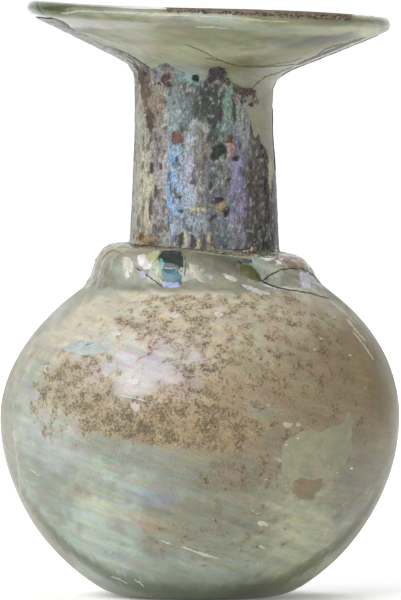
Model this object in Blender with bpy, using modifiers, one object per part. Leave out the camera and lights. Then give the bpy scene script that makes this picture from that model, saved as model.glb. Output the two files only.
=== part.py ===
"""A free-blown ancient glass flask for oil: round body, rolled collar, wide neck and a broad mouth that leans.

The axis is +Z and the flask stands on the plane Z = 0. All sizes are in metres and all angles in degrees.
"""

import math

import bpy
from mathutils import Matrix, Vector

# Body: a lower and an upper half curve that meet at its widest height. The lower one would close under the foot
BODY_RADIUS = 0.03185
WIDEST_HEIGHT = 0.0288
UNDER_FOOT = 0.0032
LOWER_DEPTH = WIDEST_HEIGHT + UNDER_FOOT
LOWER_ROUNDNESS = 1.95
UPPER_DEPTH = 0.0268
UPPER_ROUNDNESS = 1.9

# Foot: a flat ring that the flask stands on, around a shallow kick
FOOT_RADIUS = 0.0102
FOOT_RING = 0.0034
FOOT_ROUNDING = 0.0017
KICK_DEPTH = 0.0009

# Neck
NECK_FOOT_RADIUS = 0.01185
NECK_RADIUS = 0.01095
NECK_LENGTH = 0.0282
NECK_FILLET = 0.0005

# Collar: the glass rolled up round the foot of the neck
COLLAR_WIDTH = 0.00655
COLLAR_FOOT_RADIUS = NECK_FOOT_RADIUS + COLLAR_WIDTH
COLLAR_RISE = 0.0056
COLLAR_FLARE = 19.5
COLLAR_ROUND = 0.0043
COLLAR_BLEND = 0.0012

# Mouth: a cone that ends in a rounded lip
MOUTH_RADIUS = 0.0291
MOUTH_ANGLE = 24.2
MOUTH_FILLET = 0.0044
LIP_ROUND = 0.0012

# Thickness of the glass
BASE_WALL = 0.0028
BODY_WALL = 0.0013
COLLAR_WALL = 0.0014
NECK_WALL = 0.0015
MOUTH_WALL = 0.0016

# What the blower's hand left out of true
NECK_SHIFT = 0.00075
MOUTH_SHIFT = 0.0009
LIP_SHIFT = -0.0006
MOUTH_LEAN = 2.4
MOUTH_WAVE = 0.00020
MOUTH_WAVES = 3
COLLAR_LEAN = 3.6
COLLAR_WAVE = 0.00030
BODY_OVAL = 0.00015

# The collar's uneven roll: how many times each wave goes round, its share of the whole and where it starts
COLLAR_WAVES = ((2, 0.5, 35), (5, 0.3, -25), (7, 0.2, 0))

# Facets of the model
AROUND = 48
MERGE = 0.00001
KICK_STATIONS = 3
LOWER_STATIONS = 9
UPPER_STATIONS = 7
NECK_STATIONS = 4
CONE_STATIONS = 4
BEND_STATIONS = 3
CREST_STATIONS = 4
FILLET_STATIONS = 5
LIP_STATIONS = 8

GLASS_COLOUR = (0.36, 0.40, 0.30, 1.0)
GLASS_ROUGHNESS = 0.22
GLASS_CLEARNESS = 0.35


def half_curve(share, depth, roundness):
    """Radius and rise, along a quarter of the body's curve, for a share that goes from 0 at its widest to 1."""
    turn = share * math.pi / 2
    radius = BODY_RADIUS * math.cos(turn) ** (2 / roundness)
    return radius, depth * math.sin(turn) ** (2 / roundness)


def body_radius(height):
    """Radius of the body's outer curve at a height."""
    above = height > WIDEST_HEIGHT
    depth, roundness = (UPPER_DEPTH, UPPER_ROUNDNESS) if above else (LOWER_DEPTH, LOWER_ROUNDNESS)
    reach = min(abs(height - WIDEST_HEIGHT) / depth, 1.0)
    return BODY_RADIUS * (1 - reach**roundness) ** (1 / roundness)


def share_at_reach(reach, depth, roundness):
    """The share of a half curve at which it has come this far from the widest height."""
    return math.asin(min(reach / depth, 1.0) ** (roundness / 2)) / (math.pi / 2)


def share_at_radius(radius, roundness):
    """The share of a half curve at which it has this radius."""
    return math.acos((radius / BODY_RADIUS) ** (roundness / 2)) / (math.pi / 2)


def body_slope(height):
    """Unit direction of the body's curve at a height, going up."""
    step = BODY_RADIUS / 1000
    return Vector((body_radius(height + step) - body_radius(height - step), 2 * step)).normalized()


def corner_of(start, start_way, end, end_way):
    """Where the line through start meets the line through end."""
    across = start_way.x * end_way.y - start_way.y * end_way.x
    gap = end - start
    return start + start_way * ((gap.x * end_way.y - gap.y * end_way.x) / across)


def rounded(start, start_way, end, end_way, steps):
    """Points of a round bend that leaves start and reaches end along the two directions given."""
    corner = corner_of(start, start_way, end, end_way)
    points = []
    for i in range(steps + 1):
        t = i / steps
        points.append(start * (1 - t) ** 2 + corner * 2 * t * (1 - t) + end * t**2)
    return points


def arc(centre, radius, first, last, steps):
    """Points of an arc, between two angles measured up from the outward direction."""
    points = []
    for i in range(steps + 1):
        angle = math.radians(first + (last - first) * i / steps)
        points.append(centre + Vector((math.cos(angle), math.sin(angle))) * radius)
    return points


def foot_points():
    """Outer profile of the underside, from the axis to where the body's curve takes over."""
    kick_edge = FOOT_RADIUS - FOOT_RING
    shares = [math.sin(math.pi / 2 * i / KICK_STATIONS) for i in range(KICK_STATIONS)]
    kick = [Vector((kick_edge * share, KICK_DEPTH * (1 - share**2))) for share in shares]
    ring = [Vector((kick_edge, 0.0)), Vector((FOOT_RADIUS - FOOT_RING / 2, 0.0))]
    end = Vector((body_radius(FOOT_ROUNDING), FOOT_ROUNDING))
    edge = Vector((FOOT_RADIUS, 0.0))
    turn = rounded(edge, Vector((1.0, 0.0)), end, body_slope(FOOT_ROUNDING), BEND_STATIONS)
    return kick + ring + turn


def shoulder_height():
    """Height at which the body's curve has narrowed to the collar's foot."""
    share = share_at_radius(COLLAR_FOOT_RADIUS, UPPER_ROUNDNESS)
    return WIDEST_HEIGHT + half_curve(share, UPPER_DEPTH, UPPER_ROUNDNESS)[1]


def collar_top():
    """Height of the collar's crest, where the neck stands on it."""
    return shoulder_height() + COLLAR_RISE


def mouth_corner():
    """Height at which the neck's line would meet the mouth's cone."""
    return collar_top() + NECK_LENGTH


def body_points():
    """Outer profile of the body, from the foot to just under the collar."""
    points = []
    last = share_at_reach(WIDEST_HEIGHT - FOOT_ROUNDING, LOWER_DEPTH, LOWER_ROUNDNESS)
    for i in range(1, LOWER_STATIONS + 1):
        share = last * (1 - i / LOWER_STATIONS)
        radius, drop = half_curve(share, LOWER_DEPTH, LOWER_ROUNDNESS)
        points.append(Vector((radius, WIDEST_HEIGHT - drop)))
    end = shoulder_height() - COLLAR_BLEND
    last = share_at_reach(end - WIDEST_HEIGHT, UPPER_DEPTH, UPPER_ROUNDNESS)
    for i in range(1, UPPER_STATIONS):
        radius, rise = half_curve(last * i / UPPER_STATIONS, UPPER_DEPTH, UPPER_ROUNDNESS)
        points.append(Vector((radius, WIDEST_HEIGHT + rise)))
    return points


def collar_points():
    """Outer profile of the collar, from the shoulder over the crest and in to the neck."""
    flare = math.radians(COLLAR_FLARE)
    side_way = Vector((-math.sin(flare), math.cos(flare)))
    foot = Vector((COLLAR_FOOT_RADIUS, shoulder_height()))
    below = foot.y - COLLAR_BLEND
    start = Vector((body_radius(below), below))
    blend = rounded(start, body_slope(below), foot + side_way * COLLAR_BLEND, side_way, BEND_STATIONS)
    crest_height = collar_top() - COLLAR_ROUND
    inward = (COLLAR_ROUND + (crest_height - foot.y) * math.sin(flare)) / math.cos(flare)
    crest = Vector((COLLAR_FOOT_RADIUS - inward, crest_height))
    return blend + arc(crest, COLLAR_ROUND, COLLAR_FLARE, 90, CREST_STATIONS)


def neck_points():
    """Outer profile of the neck, from the collar's crest to the start of the mouth."""
    top = collar_top()
    up = Vector((0.0, 1.0))
    wall_start = Vector((NECK_FOOT_RADIUS, top + NECK_FILLET))
    crest_end = Vector((NECK_FOOT_RADIUS + NECK_FILLET, top))
    fillet = rounded(crest_end, Vector((-1.0, 0.0)), wall_start, up, BEND_STATIONS)
    end = mouth_corner() - MOUTH_FILLET * math.tan(math.radians(90 - MOUTH_ANGLE) / 2)
    points = []
    for i in range(1, NECK_STATIONS + 1):
        # It is straight above the last station but one
        narrowing = min(i / (NECK_STATIONS - 1), 1.0)
        radius = NECK_FOOT_RADIUS + (NECK_RADIUS - NECK_FOOT_RADIUS) * narrowing
        points.append(Vector((radius, wall_start.y + (end - wall_start.y) * i / NECK_STATIONS)))
    return fillet + points


def cone_way():
    """Unit direction of the mouth's cone, going out and up."""
    angle = math.radians(MOUTH_ANGLE)
    return Vector((math.cos(angle), math.sin(angle)))


def lip_centre():
    """Centre of the lip's bead, which rests on the cone's outer line."""
    radius = MOUTH_RADIUS - LIP_ROUND
    way = cone_way()
    height = mouth_corner() + (radius - NECK_RADIUS) * way.y / way.x + LIP_ROUND / way.x
    return Vector((radius, height))


def mouth_points():
    """Outer profile of the mouth's underside, up to where the lip's bead begins."""
    corner = Vector((NECK_RADIUS, mouth_corner()))
    reach = MOUTH_FILLET * math.tan(math.radians(90 - MOUTH_ANGLE) / 2)
    centre = Vector((NECK_RADIUS + MOUTH_FILLET, corner.y - reach))
    fillet = arc(centre, MOUTH_FILLET, 180, 90 + MOUTH_ANGLE, FILLET_STATIONS)[1:]
    way = cone_way()
    end = lip_centre() + Vector((way.y, -way.x)) * LIP_ROUND
    cone = [fillet[-1].lerp(end, i / CONE_STATIONS) for i in range(1, CONE_STATIONS + 1)]
    return fillet + cone


def lip_points():
    """The lip's bead, from the underside over the edge to where the inner face of the mouth begins."""
    above = min((MOUTH_WALL - LIP_ROUND) / LIP_ROUND, 1.0)
    last = 180 + MOUTH_ANGLE - math.degrees(math.asin(above))
    return arc(lip_centre(), LIP_ROUND, MOUTH_ANGLE - 90, last, LIP_STATIONS)[1:]


def smooth_step(value, low, high):
    """0 below the low value, 1 above the high one, and an even curve between."""
    share = min(max((value - low) / (high - low), 0.0), 1.0)
    return share * share * (3 - 2 * share)


def wall_at(point):
    """Thickness of the glass behind a point of the outer profile."""
    shoulder, top, corner = shoulder_height(), collar_top(), mouth_corner()
    wall = BASE_WALL + (BODY_WALL - BASE_WALL) * smooth_step(point.y, 0.0, WIDEST_HEIGHT / 2)
    wall += (COLLAR_WALL - BODY_WALL) * smooth_step(point.y, WIDEST_HEIGHT, shoulder)
    wall += (NECK_WALL - COLLAR_WALL) * smooth_step(point.y, shoulder, top)
    return wall + (MOUTH_WALL - NECK_WALL) * smooth_step(point.y, top, corner)


def inner_points(outer):
    """The inner profile: the outer one set in by the thickness of the glass, square to it."""
    points = []
    for i, point in enumerate(outer):
        before, after = outer[max(i - 1, 0)], outer[min(i + 1, len(outer) - 1)]
        way = (after - before).normalized()
        inward = Vector((-way.y, way.x))
        if i == 0:
            inward = Vector((0.0, 1.0))
        points.append(point + inward * wall_at(point))
    return points


def profile():
    """The closed section of the glass, up the inside and down the outside, both ends on the axis."""
    outer = foot_points() + body_points() + collar_points() + neck_points() + mouth_points()
    inner = inner_points(outer)
    return inner[:-1] + lip_points()[::-1] + outer[::-1]


def turned(name, points):
    """A solid of revolution about Z, from a profile, as a mesh object."""
    mesh = bpy.data.meshes.new(name + "_profile")
    edges = [(i, i + 1) for i in range(len(points) - 1)]
    mesh.from_pydata([(p.x, 0.0, p.y) for p in points], edges, [])
    outline = bpy.data.objects.new(name + "_profile", mesh)
    bpy.context.scene.collection.objects.link(outline)
    screw = outline.modifiers.new("Turn", "SCREW")
    screw.axis = "Z"
    screw.angle = 2 * math.pi
    screw.steps = AROUND
    screw.render_steps = AROUND
    screw.use_merge_vertices = True
    screw.merge_threshold = MERGE
    graph = bpy.context.evaluated_depsgraph_get()
    solid = bpy.data.meshes.new_from_object(outline.evaluated_get(graph))
    bpy.data.objects.remove(outline)
    bpy.data.meshes.remove(mesh)
    return bpy.data.objects.new(name, solid)


def collar_share(height):
    """1 at the collar's crest, falling to 0 at its foot and up on the neck."""
    shoulder, top, corner = shoulder_height(), collar_top(), mouth_corner()
    rising = smooth_step(height, shoulder - COLLAR_BLEND, top - COLLAR_BLEND)
    return rising * (1 - smooth_step(height, top, (top + corner) / 2))


def wave(azimuth):
    """The collar's uneven roll at one place round the neck."""
    return sum(share * math.sin(times * azimuth + math.radians(start)) for times, share, start in COLLAR_WAVES)


def out_of_true(point):
    """Where a point of the perfectly turned flask lies on the real one."""
    shoulder, top, corner = shoulder_height(), collar_top(), mouth_corner()
    x, y, z = point
    radius, azimuth = math.hypot(x, y), math.atan2(y, x)
    collar = collar_share(z)
    beyond_neck = smooth_step(radius, NECK_FOOT_RADIUS, COLLAR_FOOT_RADIUS)
    oval = BODY_OVAL * smooth_step(z, 0.0, WIDEST_HEIGHT) * (1 - smooth_step(z, WIDEST_HEIGHT, shoulder))
    if radius > 0:
        swell = oval * math.cos(2 * azimuth) + COLLAR_WAVE * collar * beyond_neck * wave(azimuth)
        x, y = x * (1 + swell / radius), y * (1 + swell / radius)
    z -= x * math.tan(math.radians(COLLAR_LEAN)) * collar
    lean = math.radians(MOUTH_LEAN) * smooth_step(z, (top + corner) / 2, corner)
    pivot = Vector((0.0, 0.0, corner))
    turned_point = Matrix.Rotation(lean, 3, "Y") @ (Vector((x, y, z)) - pivot) + pivot
    turned_point.x += NECK_SHIFT * smooth_step(z, WIDEST_HEIGHT, shoulder)
    turned_point.x += MOUTH_SHIFT * smooth_step(z, corner - MOUTH_FILLET / 2, corner + MOUTH_FILLET / 2)
    if z > corner:
        out = smooth_step(radius, (NECK_RADIUS + MOUTH_RADIUS) / 2, MOUTH_RADIUS)
        turned_point.x += LIP_SHIFT * out
        turned_point.z -= MOUTH_WAVE * out * math.cos(MOUTH_WAVES * azimuth)
    return turned_point


def glass():
    """Weathered glass in the photo's mean colour."""
    material = bpy.data.materials.new("weathered_glass")
    material.use_nodes = True
    shader = material.node_tree.nodes["Principled BSDF"]
    shader.inputs["Base Color"].default_value = GLASS_COLOUR
    shader.inputs["Roughness"].default_value = GLASS_ROUGHNESS
    shader.inputs["Metallic"].default_value = 0.0
    shader.inputs["IOR"].default_value = 1.5
    shader.inputs["Transmission Weight"].default_value = GLASS_CLEARNESS
    material.diffuse_color = GLASS_COLOUR
    return material


def flask():
    """The whole flask, blown in one piece."""
    vessel = turned("glass_vessel", profile())
    for vertex in vessel.data.vertices:
        vertex.co = out_of_true(vertex.co)
    vessel.data.materials.append(glass())
    vessel.data.shade_smooth()
    return vessel


def main():
    for existing in list(bpy.data.objects):
        bpy.data.objects.remove(existing)
    collection = bpy.data.collections.new("unguentarium")
    bpy.context.scene.collection.children.link(collection)
    collection.objects.link(flask())


main()
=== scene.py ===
"""Looks of an ancient glass flask: weathered body, crusted neck, cracked collar and pale floor."""
import math

import bmesh
import bpy
import numpy as np
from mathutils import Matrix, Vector
from mathutils.bvhtree import BVHTree


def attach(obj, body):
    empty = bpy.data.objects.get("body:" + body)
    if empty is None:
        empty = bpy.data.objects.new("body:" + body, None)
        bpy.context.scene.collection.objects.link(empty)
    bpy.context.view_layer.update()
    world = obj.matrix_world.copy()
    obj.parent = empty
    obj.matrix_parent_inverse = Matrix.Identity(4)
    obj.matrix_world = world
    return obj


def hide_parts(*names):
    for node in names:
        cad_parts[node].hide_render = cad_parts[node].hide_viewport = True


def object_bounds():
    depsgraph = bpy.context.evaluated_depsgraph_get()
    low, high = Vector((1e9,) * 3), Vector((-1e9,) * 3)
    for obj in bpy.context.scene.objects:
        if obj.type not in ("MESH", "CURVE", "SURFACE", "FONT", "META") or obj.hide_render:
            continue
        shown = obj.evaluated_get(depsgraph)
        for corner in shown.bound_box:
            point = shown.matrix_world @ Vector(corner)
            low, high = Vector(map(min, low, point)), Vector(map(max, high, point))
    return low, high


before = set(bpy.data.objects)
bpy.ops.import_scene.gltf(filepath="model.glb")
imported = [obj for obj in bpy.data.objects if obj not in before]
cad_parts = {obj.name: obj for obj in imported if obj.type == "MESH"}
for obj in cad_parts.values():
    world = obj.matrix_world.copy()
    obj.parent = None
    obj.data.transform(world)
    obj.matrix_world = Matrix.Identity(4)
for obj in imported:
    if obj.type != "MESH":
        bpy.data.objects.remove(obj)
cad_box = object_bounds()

BODY = "root"
NODE = "glass_vessel"
MM = 0.001

# The photo's frame: metres per pixel at the flask's axis, and where X = 0 and Z = 0 fall in it
PIXEL = 0.00016
PHOTO_WIDE = 401
PHOTO_HIGH = 600
AXIS_COLUMN = 199.8
FLOOR_ROW = 596.5
CAMERA_FAR = 1.5
CAMERA_HIGH = 0.099
MOUTH_ROW = 60

# What a matt surface gets from the lights: from all round, from the key light and from the floor
LIGHT_ROUND = 0.77
LIGHT_KEY = 1.5
LIGHT_FLOOR = 0.34
KEY_PLACE = (-0.75, -1.02, 0.72)
MIDDLE = (0, 0, 0.05)
VEIL = 0.6

# Heights on the outer side where one zone gives way to the next
BASE_TOP = 0.0035
COLLAR_LOW = 0.0487
NECK_LOW = 0.0562
NECK_HIGH = 0.0800
MOUTH_LOW = 0.0850
LIP_LOW = 0.0912
CRUST_HIGH = 0.0915

# Radius and least height of the crease between the collar and the neck, where the crust starts
CREASE_RADIUS = 0.01215
CREASE_LOW = 0.0540

# How far off the glass a place starts when it is turned to the back, so that it lands on the outside again
TURN_CLEAR = 0.0025

SEED = 7
NOISE_GAIN = 1.6
NOISE_SHIFT = 17.3

# The wall's mean section is read at this many stations, of which the first ones lie under the foot
FINE_STEPS = 2001
UNDER_STEPS = 200

# The mesh that a pixel's ray meets before the vessel is there
SIGHT_PITCH = 0.001
SIGHT_AROUND = 200


# Numbers


def smooth(value, low, high):
    """0 below low, 1 above high and an even curve between. High may be the smaller one."""
    share = np.clip((value - low) / (high - low), 0.0, 1.0)
    return share * share * (3 - 2 * share)


def tone(red, green, blue):
    """A colour on screen, 0 to 255, as linear light."""
    screen = np.array((red, green, blue)) / 255
    return np.where(screen <= 0.04045, screen / 12.92, ((screen + 0.055) / 1.055) ** 2.4)


def hashed(cell, seed):
    """A number from -1 to 1 for each cell of a lattice."""
    x, y, z = (cell[..., i].astype(np.int64).astype(np.uint32) for i in range(3))
    mixed = x * np.uint32(73856093) ^ y * np.uint32(19349663) ^ z * np.uint32(83492791)
    mixed = mixed ^ np.uint32(seed * 2654435761 & 0xFFFFFFFF)
    for shift, factor in ((15, 2246822519), (13, 3266489917)):
        mixed = (mixed ^ (mixed >> np.uint32(shift))) * np.uint32(factor)
    mixed = mixed ^ (mixed >> np.uint32(16))
    return mixed.astype(np.float64) / 2147483647.5 - 1


def noise(points, size, seed=0, octaves=3, stretch=(1, 1, 1)):
    """Smooth noise from about -1 to 1, with bumps of that size in metres, drawn out by stretch."""
    total, weight, norm = 0.0, 1.0, 0.0
    for octave in range(octaves):
        place = points / (size * np.array(stretch)) * 2**octave + NOISE_SHIFT * octave
        cell = np.floor(place)
        part = place - cell
        part = part * part * part * (part * (part * 6 - 15) + 10)
        value = 0.0
        for corner in np.ndindex(2, 2, 2):
            share = np.prod(np.where(corner, part, 1 - part), axis=-1)
            value = value + share * hashed(cell + corner, seed + SEED + 31 * octave)
        total, norm = total + value * weight, norm + weight
        weight *= 0.5
    return total / norm * NOISE_GAIN


# The flask's wall, read from the frame


def grid_faces(count, around):
    """Faces between rows of points that each go round."""
    i = np.arange(count - 1)[:, None] * around
    j = np.arange(around)[None, :]
    k = (j + 1) % around
    return np.stack((i + j, i + k, i + around + k, i + around + j), axis=-1).reshape(-1, 4)


class Wall:
    """The smooth surface through the columns of points that the CAD solid is made of.

    A station is a distance along the wall's mean section, from the underside's centre up the outside, over
    the lip and down the inside.
    """

    def __init__(self, node):
        mesh = bmesh.new()
        mesh.from_mesh(node.data)
        bmesh.ops.remove_doubles(mesh, verts=mesh.verts, dist=1e-6)
        poles = sorted((v for v in mesh.verts if v.co.xy.length < 1e-5), key=lambda v: v.co.z)
        under, inside = (self.columns_from(pole) for pole in poles)
        lines = [np.array(a + b[::-1]) for a, b in zip(under, inside)]
        mesh.free()
        lengths = [np.linalg.norm(np.diff(line, axis=0), axis=1) for line in lines]
        self.length = float(np.mean([length.sum() for length in lengths]))
        self.lines = []
        for line, length in zip(lines, lengths):
            knots = np.concatenate(([0.0], np.cumsum(length))) * self.length / length.sum()
            slope = np.gradient(line, axis=0)
            slope[1:-1] = (line[2:] - line[:-2]) / (knots[2:] - knots[:-2])[:, None]
            slope[[0, -1]] = (line[1] - line[0]) / knots[1], (line[-1] - line[-2]) / (knots[-1] - knots[-2])
            self.lines.append((line, knots, slope))
        self.fine = np.linspace(0, self.length, FINE_STEPS)
        rings = self.sampled(self.fine)
        self.height = rings[..., 2].mean(axis=1)
        away = rings - rings.mean(axis=1, keepdims=True)
        self.radius = np.hypot(away[..., 0], away[..., 1]).mean(axis=1)
        self.top = int(self.height.argmax())
        self.lip = self.fine[self.top]
        points, _ = self.at(np.arange(SIGHT_PITCH / 2, self.length, SIGHT_PITCH), SIGHT_AROUND)
        self.see(points.reshape(-1, 3), grid_faces(*points.shape[:2]))

    def see(self, points, faces):
        """Takes a mesh as the surface that a pixel's ray meets."""
        self.tree = BVHTree.FromPolygons(points.tolist(), faces.tolist())

    def columns_from(self, pole):
        """Each column's points from a pole out to the floor, in order round the axis."""
        columns = {}
        for spoke in pole.link_edges:
            column = [pole, spoke.other_vert(pole)]
            while column[-1].co.z > 1e-6:
                here = column[-1]
                ahead = {edge.other_vert(here) for edge in here.link_edges} - set(column)
                column.append(min(ahead, key=lambda v: abs(v.co.xy.angle_signed(here.co.xy))))
            bearing = math.atan2(column[1].co.y, column[1].co.x) * len(pole.link_edges) / (2 * math.pi)
            columns[round(bearing) % len(pole.link_edges)] = [tuple(v.co) for v in column]
        return [columns[i] for i in sorted(columns)]

    def sampled(self, stations):
        """Points at stations along every column."""
        found = []
        for line, knots, slope in self.lines:
            low = np.clip(np.searchsorted(knots, stations, side="right") - 1, 0, len(knots) - 2)
            step = (knots[low + 1] - knots[low])[:, None]
            t = (stations - knots[low])[:, None] / step
            start = line[low] * (1 + 2 * t) + slope[low] * step * t
            end = line[low + 1] * (3 - 2 * t) - slope[low + 1] * step * (1 - t)
            found.append(start * (1 - t) ** 2 + end * t**2)
        return np.stack(found, axis=1)

    def outside(self, height):
        """Station on the outer side at a mean height."""
        outer = slice(UNDER_STEPS, self.top)
        return np.interp(height, self.height[outer], self.fine[outer])

    def inside(self, height):
        """Station on the inner side at a mean height."""
        return np.interp(height, self.height[self.top :][::-1], self.fine[self.top :][::-1])

    def at(self, stations, around):
        """Points of the smooth wall, one row for each station, and the outward direction at each."""
        points = self.sampled(stations)
        points = np.fft.irfft(np.fft.rfft(points, axis=1), n=around, axis=1) * (around / points.shape[1])
        points[..., 2] = np.maximum(points[..., 2], 0.0)
        along = np.gradient(points, axis=0)
        across = np.roll(points, -1, axis=1) - np.roll(points, 1, axis=1)
        normals = np.cross(across, along)
        normals /= np.maximum(np.linalg.norm(normals, axis=2, keepdims=True), 1e-12)
        return points, normals


wall = Wall(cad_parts[NODE])


def rows(*stretches):
    """Stations from stretches of (start, end, spacing), each without its end."""
    parts = []
    for start, end, spacing in stretches:
        count = max(int(round((end - start) / spacing)), 1)
        parts.append(np.linspace(start, end, count, endpoint=False))
    return np.concatenate(parts)


# Places in the photo


EYE = Vector(((PHOTO_WIDE / 2 - AXIS_COLUMN) * PIXEL, -CAMERA_FAR, CAMERA_HIGH))


def in_plane(column, row):
    """The point of the plane Y = 0 that a pixel of the photo shows."""
    return Vector(((column - AXIS_COLUMN) * PIXEL, 0.0, (FLOOR_ROW - row) * PIXEL))


def on_flask(column, row):
    """The point of the flask that a pixel of the photo shows, and the outward direction there.

    A pixel just off the flask's edge is moved in towards the axis until it meets the glass.
    """
    for _ in range(30):
        place, normal, _, _ = wall.tree.ray_cast(EYE, (in_plane(column, row) - EYE).normalized())
        if place is not None:
            return np.array(place), np.array(normal)
        column += math.copysign(0.5, AXIS_COLUMN - column)
        row += 0.1 if row < MOUTH_ROW else 0
    raise ValueError(f"no glass near pixel {column}, {row}")


KEY = np.array(KEY_PLACE) - MIDDLE
KEY /= np.linalg.norm(KEY)


def light_on(normal):
    """How much brighter than its own colour a matt surface facing that way looks under the lights."""
    return LIGHT_ROUND + LIGHT_KEY * max(float(normal @ KEY), 0.0) - LIGHT_FLOOR * float(normal[2])


def seen(column, row, colour):
    """The surface's own colour, in linear light, from what the photo shows at a pixel.

    Near the outline the surface also mirrors the pale backdrop, and that veil is taken off.
    """
    normal = on_flask(column, row)[1]
    veil = VEIL * (1 - min(abs(float(normal[1])), 1.0)) ** 5
    return np.maximum(tone(*colour) - veil, 0.25 * tone(*colour)) / light_on(normal)


def in_photo(points):
    """Column and row of points in the photo."""
    away = CAMERA_FAR / (CAMERA_FAR + points[..., 1])
    column = AXIS_COLUMN + (EYE.x + (points[..., 0] - EYE.x) * away) / PIXEL
    row = FLOOR_ROW - (CAMERA_HIGH + (points[..., 2] - CAMERA_HIGH) * away) / PIXEL
    return column, row


def nearest(point):
    """The point of the flask nearest to one, and the outward direction there."""
    place, normal, _, _ = wall.tree.find_nearest(Vector(point))
    return np.array(place), np.array(normal)


def half_turned(points):
    """The same points with the flask turned half round, so that its back repeats the front's places."""
    return points * np.array((-1, -1, 1))


def placed(column, row, turned):
    """The point of the flask at a pixel, or behind it when turned, and the outward direction there."""
    point, out = on_flask(column, row)
    return nearest(half_turned(point + out * TURN_CLEAR)) if turned else (point, out)


# Painting


PAINTS = ("clear", "rough", "grit", "bare")


class Skin:
    """The paint on a set of points: colour, how clear, rough and gritty the glass is, and how proud."""

    def __init__(self, points, colour, clear=0.1, rough=0.4, grit=0.2):
        self.points = points
        shape = points.shape[:-1]
        self.colour = np.broadcast_to(colour, points.shape).copy()
        self.clear = np.full(shape, clear, dtype=float)
        self.rough = np.full(shape, rough, dtype=float)
        self.grit = np.full(shape, grit, dtype=float)
        self.bare = np.full(shape, -1.0)
        self.proud = np.zeros(shape)

    def lay(self, mask, colour=None, proud=0.0, **coat):
        """Lays a coat where the mask says: a colour, more height, and other paints by their names."""
        if colour is not None:
            self.colour += (colour - self.colour) * mask[..., None]
        for name, value in coat.items():
            painted = getattr(self, name)
            painted += (value - painted) * mask
        self.proud += proud * mask

    def tint(self, mask, factor):
        """Multiplies the colour where the mask names."""
        self.colour *= 1 + (factor - 1) * mask[..., None]

    def pick(self, chosen):
        """Keeps the paint of some points, by their numbers in the grid."""
        for name in ("colour",) + PAINTS:
            value = getattr(self, name)
            setattr(self, name, value.reshape((-1,) + value.shape[2:])[chosen])


BLOB_REACH = 2.5
LEAST_LEAN = 0.3


def blob(
    points, column, row, wide, high, turn=0.0, soft=0.5, ragged=0.35, grain=1.0, seed=0, stretch=(1, 1, 1)
):
    """A mask of a ragged oval seen at a pixel of the photo. wide and high are its half sizes in pixels."""
    middle, out = on_flask(column, row)
    right = np.cross((0, 0, 1), out)
    right *= max(abs(right[0]), LEAST_LEAN) / np.linalg.norm(right)
    up = np.cross(out, right)
    up *= max(abs(up[2]), LEAST_LEAN) / np.linalg.norm(up)
    angle = math.radians(turn)
    first = (right * math.cos(angle) + up * math.sin(angle)) / (wide * PIXEL)
    second = (up * math.cos(angle) - right * math.sin(angle)) / (high * PIXEL)
    depth = out / (BLOB_REACH * max(wide, high) * PIXEL)
    away = points - middle
    reach = np.sqrt((away @ first) ** 2 + (away @ second) ** 2 + (away @ depth) ** 2)
    near = reach < BLOB_REACH
    mask = np.zeros(points.shape[:-1])
    if near.any():
        size = max(min(wide, high), 2) * PIXEL * grain
        own = seed + int(column) * 7 + int(row)
        rough = reach[near] + ragged * noise(points[near], size, own, 3, stretch)
        mask[near] = smooth(rough, 1 + soft, 1 - soft)
    return mask


def inside_outline(points, outline):
    """Signed distance in pixels to a closed outline of pixels in the photo. It is positive inside."""
    column, row = in_photo(points)
    closest = np.full(column.shape, 1e9)
    crossings = np.zeros(column.shape, dtype=int)
    for (x1, y1), (x2, y2) in zip(outline, outline[1:] + outline[:1]):
        length = (x2 - x1) ** 2 + (y2 - y1) ** 2
        share = np.clip(((column - x1) * (x2 - x1) + (row - y1) * (y2 - y1)) / length, 0, 1)
        away = np.hypot(column - x1 - share * (x2 - x1), row - y1 - share * (y2 - y1))
        closest = np.minimum(closest, away)
        if y1 != y2:
            between = (row > min(y1, y2)) & (row <= max(y1, y2))
            crossings += between & (column < x1 + (row - y1) * (x2 - x1) / (y2 - y1))
    return np.where(crossings % 2 == 1, closest, -closest)


def on_front(points):
    """Which points belong to the side that the photo shows. The two sides meet along a ragged line."""
    return points[..., 1] + 1.5 * MM * noise(points, 3 * MM, 12, 3) < 0


def both_sides(points, outline):
    """Signed distance to an outline on the front, and to the same outline turned half round on the back."""
    front, back = (inside_outline(p, outline) for p in (points, half_turned(points)))
    return np.where(on_front(points), front, back)


# Meshes


def fan(pole, first, around, flip):
    """Faces between a point and the row round it."""
    j = np.arange(around)
    k = (j + 1) % around
    edge = (first + k, first + j) if flip else (first + j, first + k)
    return np.stack((np.full(around, pole),) + edge, axis=-1)


def mesh_piece(name, points, grids, skin, material, faces=()):
    """A smooth mesh object with its paint."""
    mesh = bpy.data.meshes.new(name)
    low, high = np.array(cad_box)
    points = np.clip(points.reshape(-1, 3), low, high)
    mesh.from_pydata(points.tolist(), [], [f.tolist() for grid in grids for f in grid] + list(faces))
    mesh.shade_smooth()
    paint(mesh, skin)
    mesh.materials.append(material)
    piece = bpy.data.objects.new(name, mesh)
    bpy.context.scene.collection.objects.link(piece)
    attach(piece, BODY)
    return piece


def sheet_piece(name, points, faces, skin, material):
    """A piece from some of the faces of a grid, without the points that none of them uses."""
    used, numbered = np.unique(faces, return_inverse=True)
    skin.pick(used)
    mesh_piece(name, points.reshape(-1, 3)[used], (numbered.reshape(faces.shape),), skin, material)


def paint(mesh, skin):
    """Writes a skin's paint as attributes that the material reads."""
    colours = np.ones((len(mesh.vertices), 4))
    colours[:, :3] = np.clip(skin.colour.reshape(-1, 3), 0, 1)
    mesh.color_attributes.new("film", "FLOAT_COLOR", "POINT").data.foreach_set("color", colours.ravel())
    for name in PAINTS:
        values = np.clip(getattr(skin, name).ravel(), -1, 2)
        mesh.attributes.new(name, "FLOAT", "POINT").data.foreach_set("value", values)


# Materials


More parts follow.
